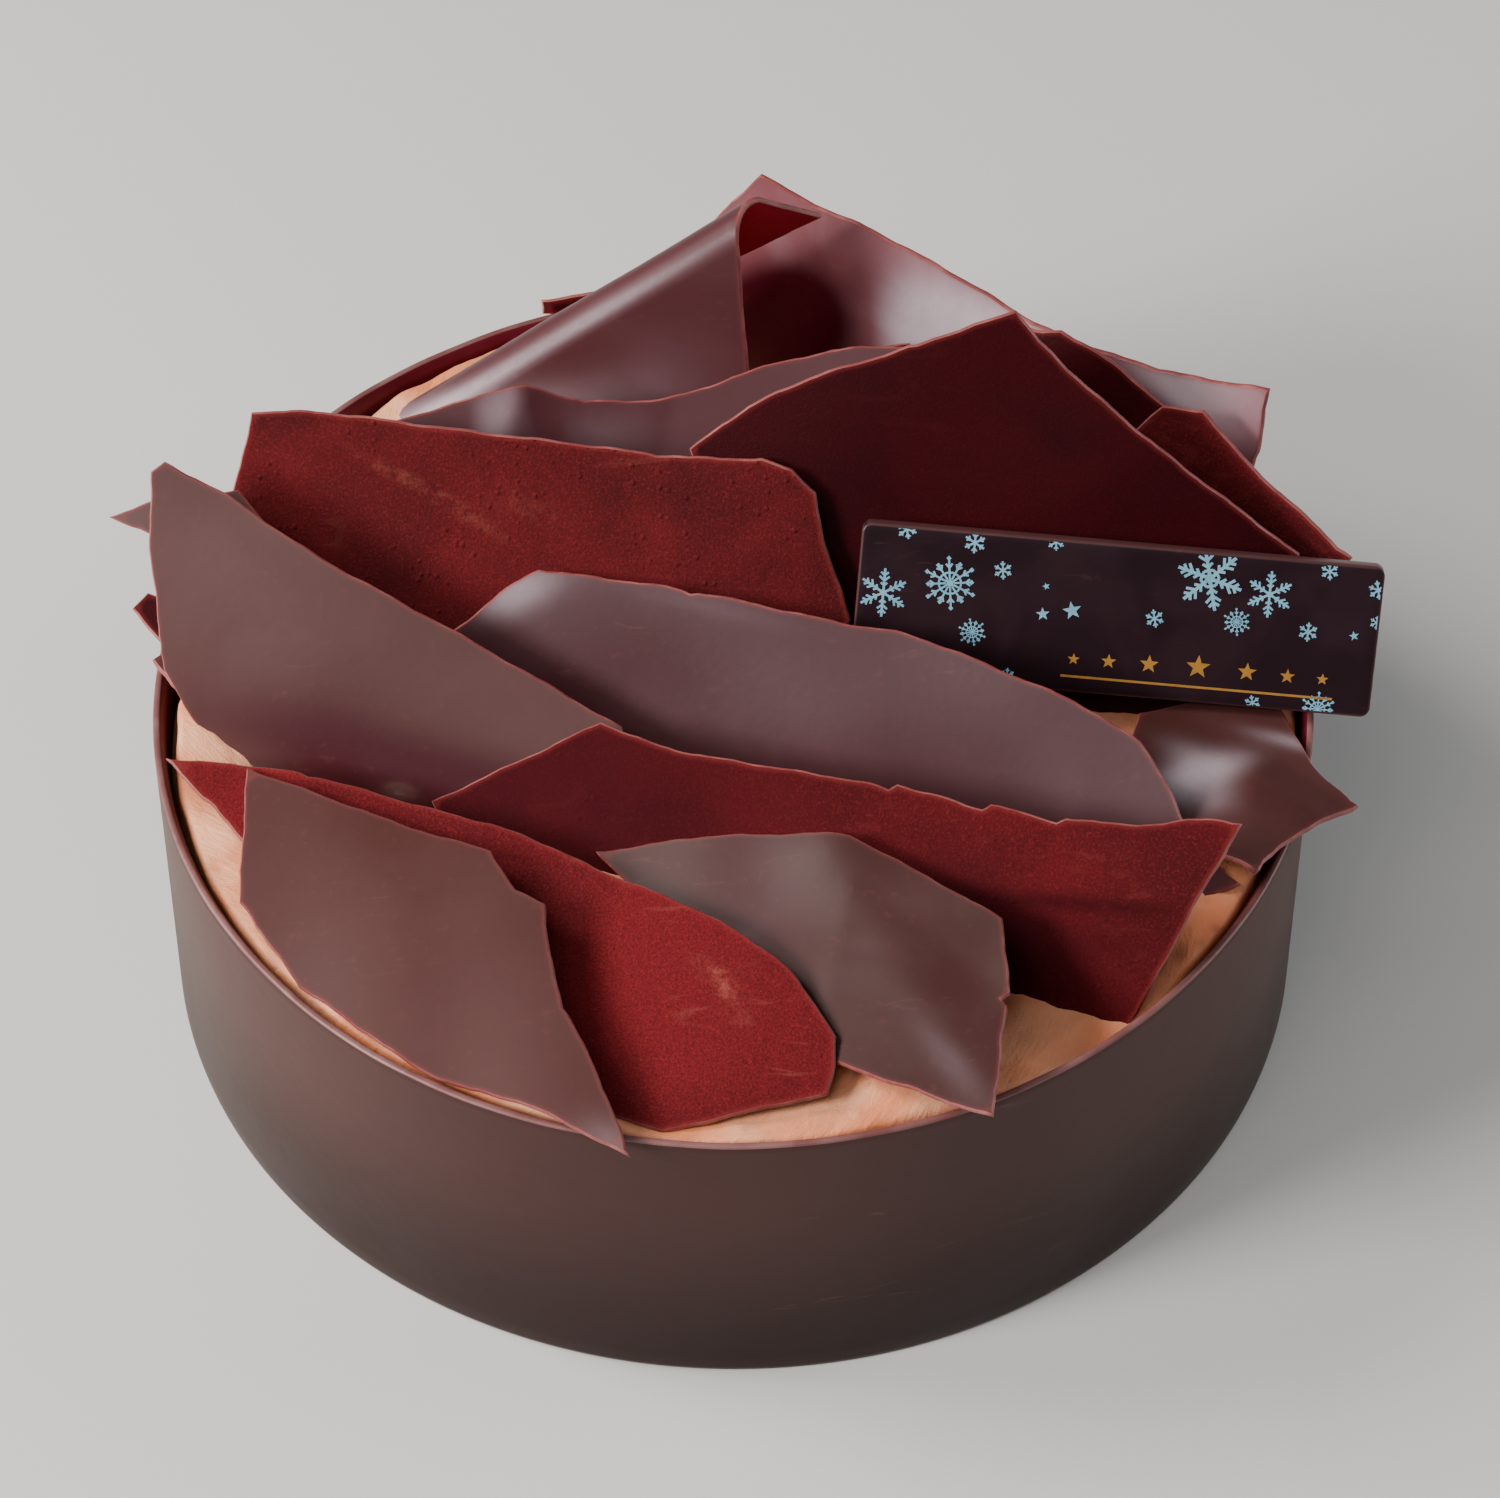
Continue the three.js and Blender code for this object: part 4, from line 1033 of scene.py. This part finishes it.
def makePlaqueFinish():
    material, tree, shader, at = newMaterial("plaqueChocolate")
    cloud = placed(tree, cloudGroup, at, Size=90.0, Amount=0.7)
    scuff = placed(tree, scuffGroup, at, Stretch=(140.0, 500.0, 500.0), Rarity=0.6)
    # lighter within about half a millimetre of the edge
    paleEdge = mapped(tree, pointValue(tree, "rim"), 0.5, 0.1)
    colour = mixed(tree, cloud["Haze"], srgb(*plaque["body"]), srgb(*plaque["haze"]))
    colour = tinted(tree, colour, scuff["Mask"], 0.3, plaque["rub"])
    colour = tinted(tree, colour, paleEdge, 0.5, plaque["paleEdge"])
    rough = plus(tree, times(tree, cloud["Haze"], 0.08), 0.34)
    coated(tree, shader, colour, rough, Specular_IOR_Level=0.3)
    bumped(tree, shader, cloud["Height"], 0.1, 0.0002)
    return material


def makePrint(name, colour, metallic, rough):
    material, tree, shader, at = newMaterial(name)
    cloud = placed(tree, cloudGroup, at, Size=500.0, Amount=1.0)
    faded = tuple(c * 0.6 for c in colour[:3]) + (1,)
    thinned = mixed(tree, times(tree, cloud["Haze"], 0.5), colour, faded)
    coated(tree, shader, thinned, rough, Metallic=metallic)
    return material


def makePlaque():
    width, height, thickness = plaque["width"], plaque["height"], plaque["thickness"]
    corner, edge = plaque["corner"], plaque["edge"]
    section = [(6.0, 0.0), (1.2, 0.0), (edge, 0.0), (edge * 0.45, edge * 0.12), (edge * 0.12, edge * 0.45),
               (0.0, edge), (0.0, thickness - edge), (edge * 0.12, thickness - edge * 0.55),
               (edge * 0.5, thickness), (1.2, thickness), (6.0, thickness)]   # in from the side, down
    rings = []
    for inset, depth in section:
        shift = max(0, inset - corner)
        loop = roundedLoop(width - 2 * shift, height - 2 * shift, corner, min(inset, corner))
        rings.append([(x + shift, y + shift, -depth) for x, y in loop])
    count = len(rings[0])
    points = np.array([p for ring in rings for p in ring])
    faces = [tuple(range(count)), tuple(reversed(range((len(rings) - 1) * count, len(rings) * count)))]
    faces += [(a, d, c, b) for a, b, c, d in gridFaces(len(rings), count)]
    inside = np.minimum.reduce([points[:, 0], width - points[:, 0], points[:, 1], height - points[:, 1]])
    return addPiece(
        "plaqueSlab", placedBy(plaque, points), faces, [makePlaqueFinish()], "plaque_chocolate", "plaque",
        rim=inside + 0.08)


def bar(a, b, half):
    a, b = np.array(a, float), np.array(b, float)
    along = (b - a) / np.hypot(*(b - a))
    side = np.array([-along[1], along[0]]) * half
    return [a - side, b - side, b + side, a + side]


def starShape(x, y, across, points=5, waist=0.42, turn=90):
    shape = []
    for k in range(2 * points):
        r = across / 2 * (1 if k % 2 == 0 else waist)
        angle = math.radians(turn + 180 * k / points)
        shape.append(np.array([x + r * math.cos(angle), y + r * math.sin(angle)]))
    return [shape]


# where the branches leave an arm, and how wide they spread, as shares of its length
flakeBranches = dict(
    feathered=((0.34, 0.15), (0.54, 0.22), (0.74, 0.15)),
    branched=((0.3, 0.13), (0.5, 0.2), (0.72, 0.15)),
)


def flakeShape(kind, x, y, across, turn=90):
    if kind == "star":
        return starShape(x, y, across, turn=turn + 8)
    shapes, r = [], across / 2
    thin = max(0.055, r * 0.042)
    arms = 12 if kind == "lace" else 6
    for k in range(arms):
        angle = math.radians(turn + 360 * k / arms)
        out = np.array([math.cos(angle), math.sin(angle)])
        side = np.array([-out[1], out[0]])

        def spot(s, t=0.0):
            return np.array([x, y]) + out * r * s + side * r * t

        if kind == "small":
            shapes.append(bar(spot(0), spot(1), r * 0.09))
            shapes += [bar(spot(0.5), spot(0.78, t), r * 0.075) for t in (0.24, -0.24)]
        elif kind == "lace":
            reach = 1.0 if k % 2 == 0 else 0.84
            shapes.append(bar(spot(0.16), spot(reach), thin * 0.9))
            shapes += [bar(spot(0.62), spot(0.62 + 0.16, t), thin * 0.9) for t in (0.13, -0.13)]
            shapes.append(bar(spot(0.42, -0.115), spot(0.42, 0.115), thin * 0.9))
            shapes += starShape(*spot(reach), r * 0.2, 4, 0.7)
        else:
            shapes.append(bar(spot(0), spot(1), thin * 1.15))
            for s, t in flakeBranches[kind]:
                shapes += [bar(spot(s), spot(s + t * 0.85, way), thin) for way in (t, -t)]
            if kind == "feathered":
                shapes.append(bar(spot(0.24, -0.139), spot(0.24, 0.139), thin))
    if kind != "small":
        shapes += starShape(x, y, across * 0.2, 6, 0.6)
    return shapes


def withinShape(point, shape):
    inside = False
    for a, b in zip(shape, shape[1:] + shape[:1]):
        crosses = (a[1] > point[1]) != (b[1] > point[1])
        if crosses and point[0] < (b[0] - a[0]) * (point[1] - a[1]) / (b[1] - a[1]) + a[0]:
            inside = not inside
    return inside


def printed(name, shapes, material):
    # flat shapes joined where they cross, trimmed to the plaque's face, and given a thin edge
    margin = plaque["printMargin"]
    right, top = plaque["width"] - margin, plaque["height"] - margin
    points, faces = [], []
    for group in shapes:
        flat, rings = [], []
        for shape in group + [[(margin, margin), (right, margin), (right, top), (margin, top)]]:
            rings.append(list(range(len(flat), len(flat) + len(shape))))
            flat += [Vector(p) for p in shape]
        made = delaunay_2d_cdt(flat, [], rings, 0, 1e-6)
        uv = [np.array(list(p)) for p in made[0]]
        start, count = len(points), len(uv)
        points += [(p[0], p[1], level) for level in (plaque["printLift"], plaque["printSink"]) for p in uv]
        edges = {}
        for face in (list(f) for f in made[2]):
            centre = sum(uv[i] for i in face) / len(face)
            within = margin < centre[0] < right and margin < centre[1] < top
            if not within or not any(withinShape(centre, shape) for shape in group):
                continue
            if twiceArea(uv, face) < 0:
                face.reverse()
            faces.append(tuple(start + i for i in face))
            edges.update(dict.fromkeys(zip(face, face[1:] + face[:1])))
        for a, b in edges:
            if (b, a) not in edges:
                faces.append((start + a, start + count + a, start + count + b, start + b))
    used = sorted({i for f in faces for i in f})
    renumber = {old: new for new, old in enumerate(used)}
    faces = [tuple(renumber[i] for i in f) for f in faces]
    flatPoints = np.array([points[i] for i in used])
    piece = addPiece(name, placedBy(plaque, flatPoints), faces, [material], "plaque_chocolate")
    piece.data.polygons.foreach_set("use_smooth", [False] * len(piece.data.polygons))
    return piece


makePlaque()
paleBlue = makePrint("paleBluePrint", srgb(*plaque["blue"]), 0.0, 0.45)
goldPrint = makePrint("goldPrint", srgb(*plaque["gold"]), 0.35, 0.4)
flakeShapes = [flakeShape(*flake, 90 + 7 * (i % 3)) for i, flake in enumerate(plaque["flakes"])]
goldShapes = [starShape(*star) for star in plaque["stars"]]
goldShapes.append([bar(plaque["ruleStart"], plaque["ruleEnd"], plaque["ruleWidth"] / 2)])
printed("snowflakePrint", flakeShapes, paleBlue)
printed("goldRow", goldShapes, goldPrint)
print("plaque made")

print("pieces done")
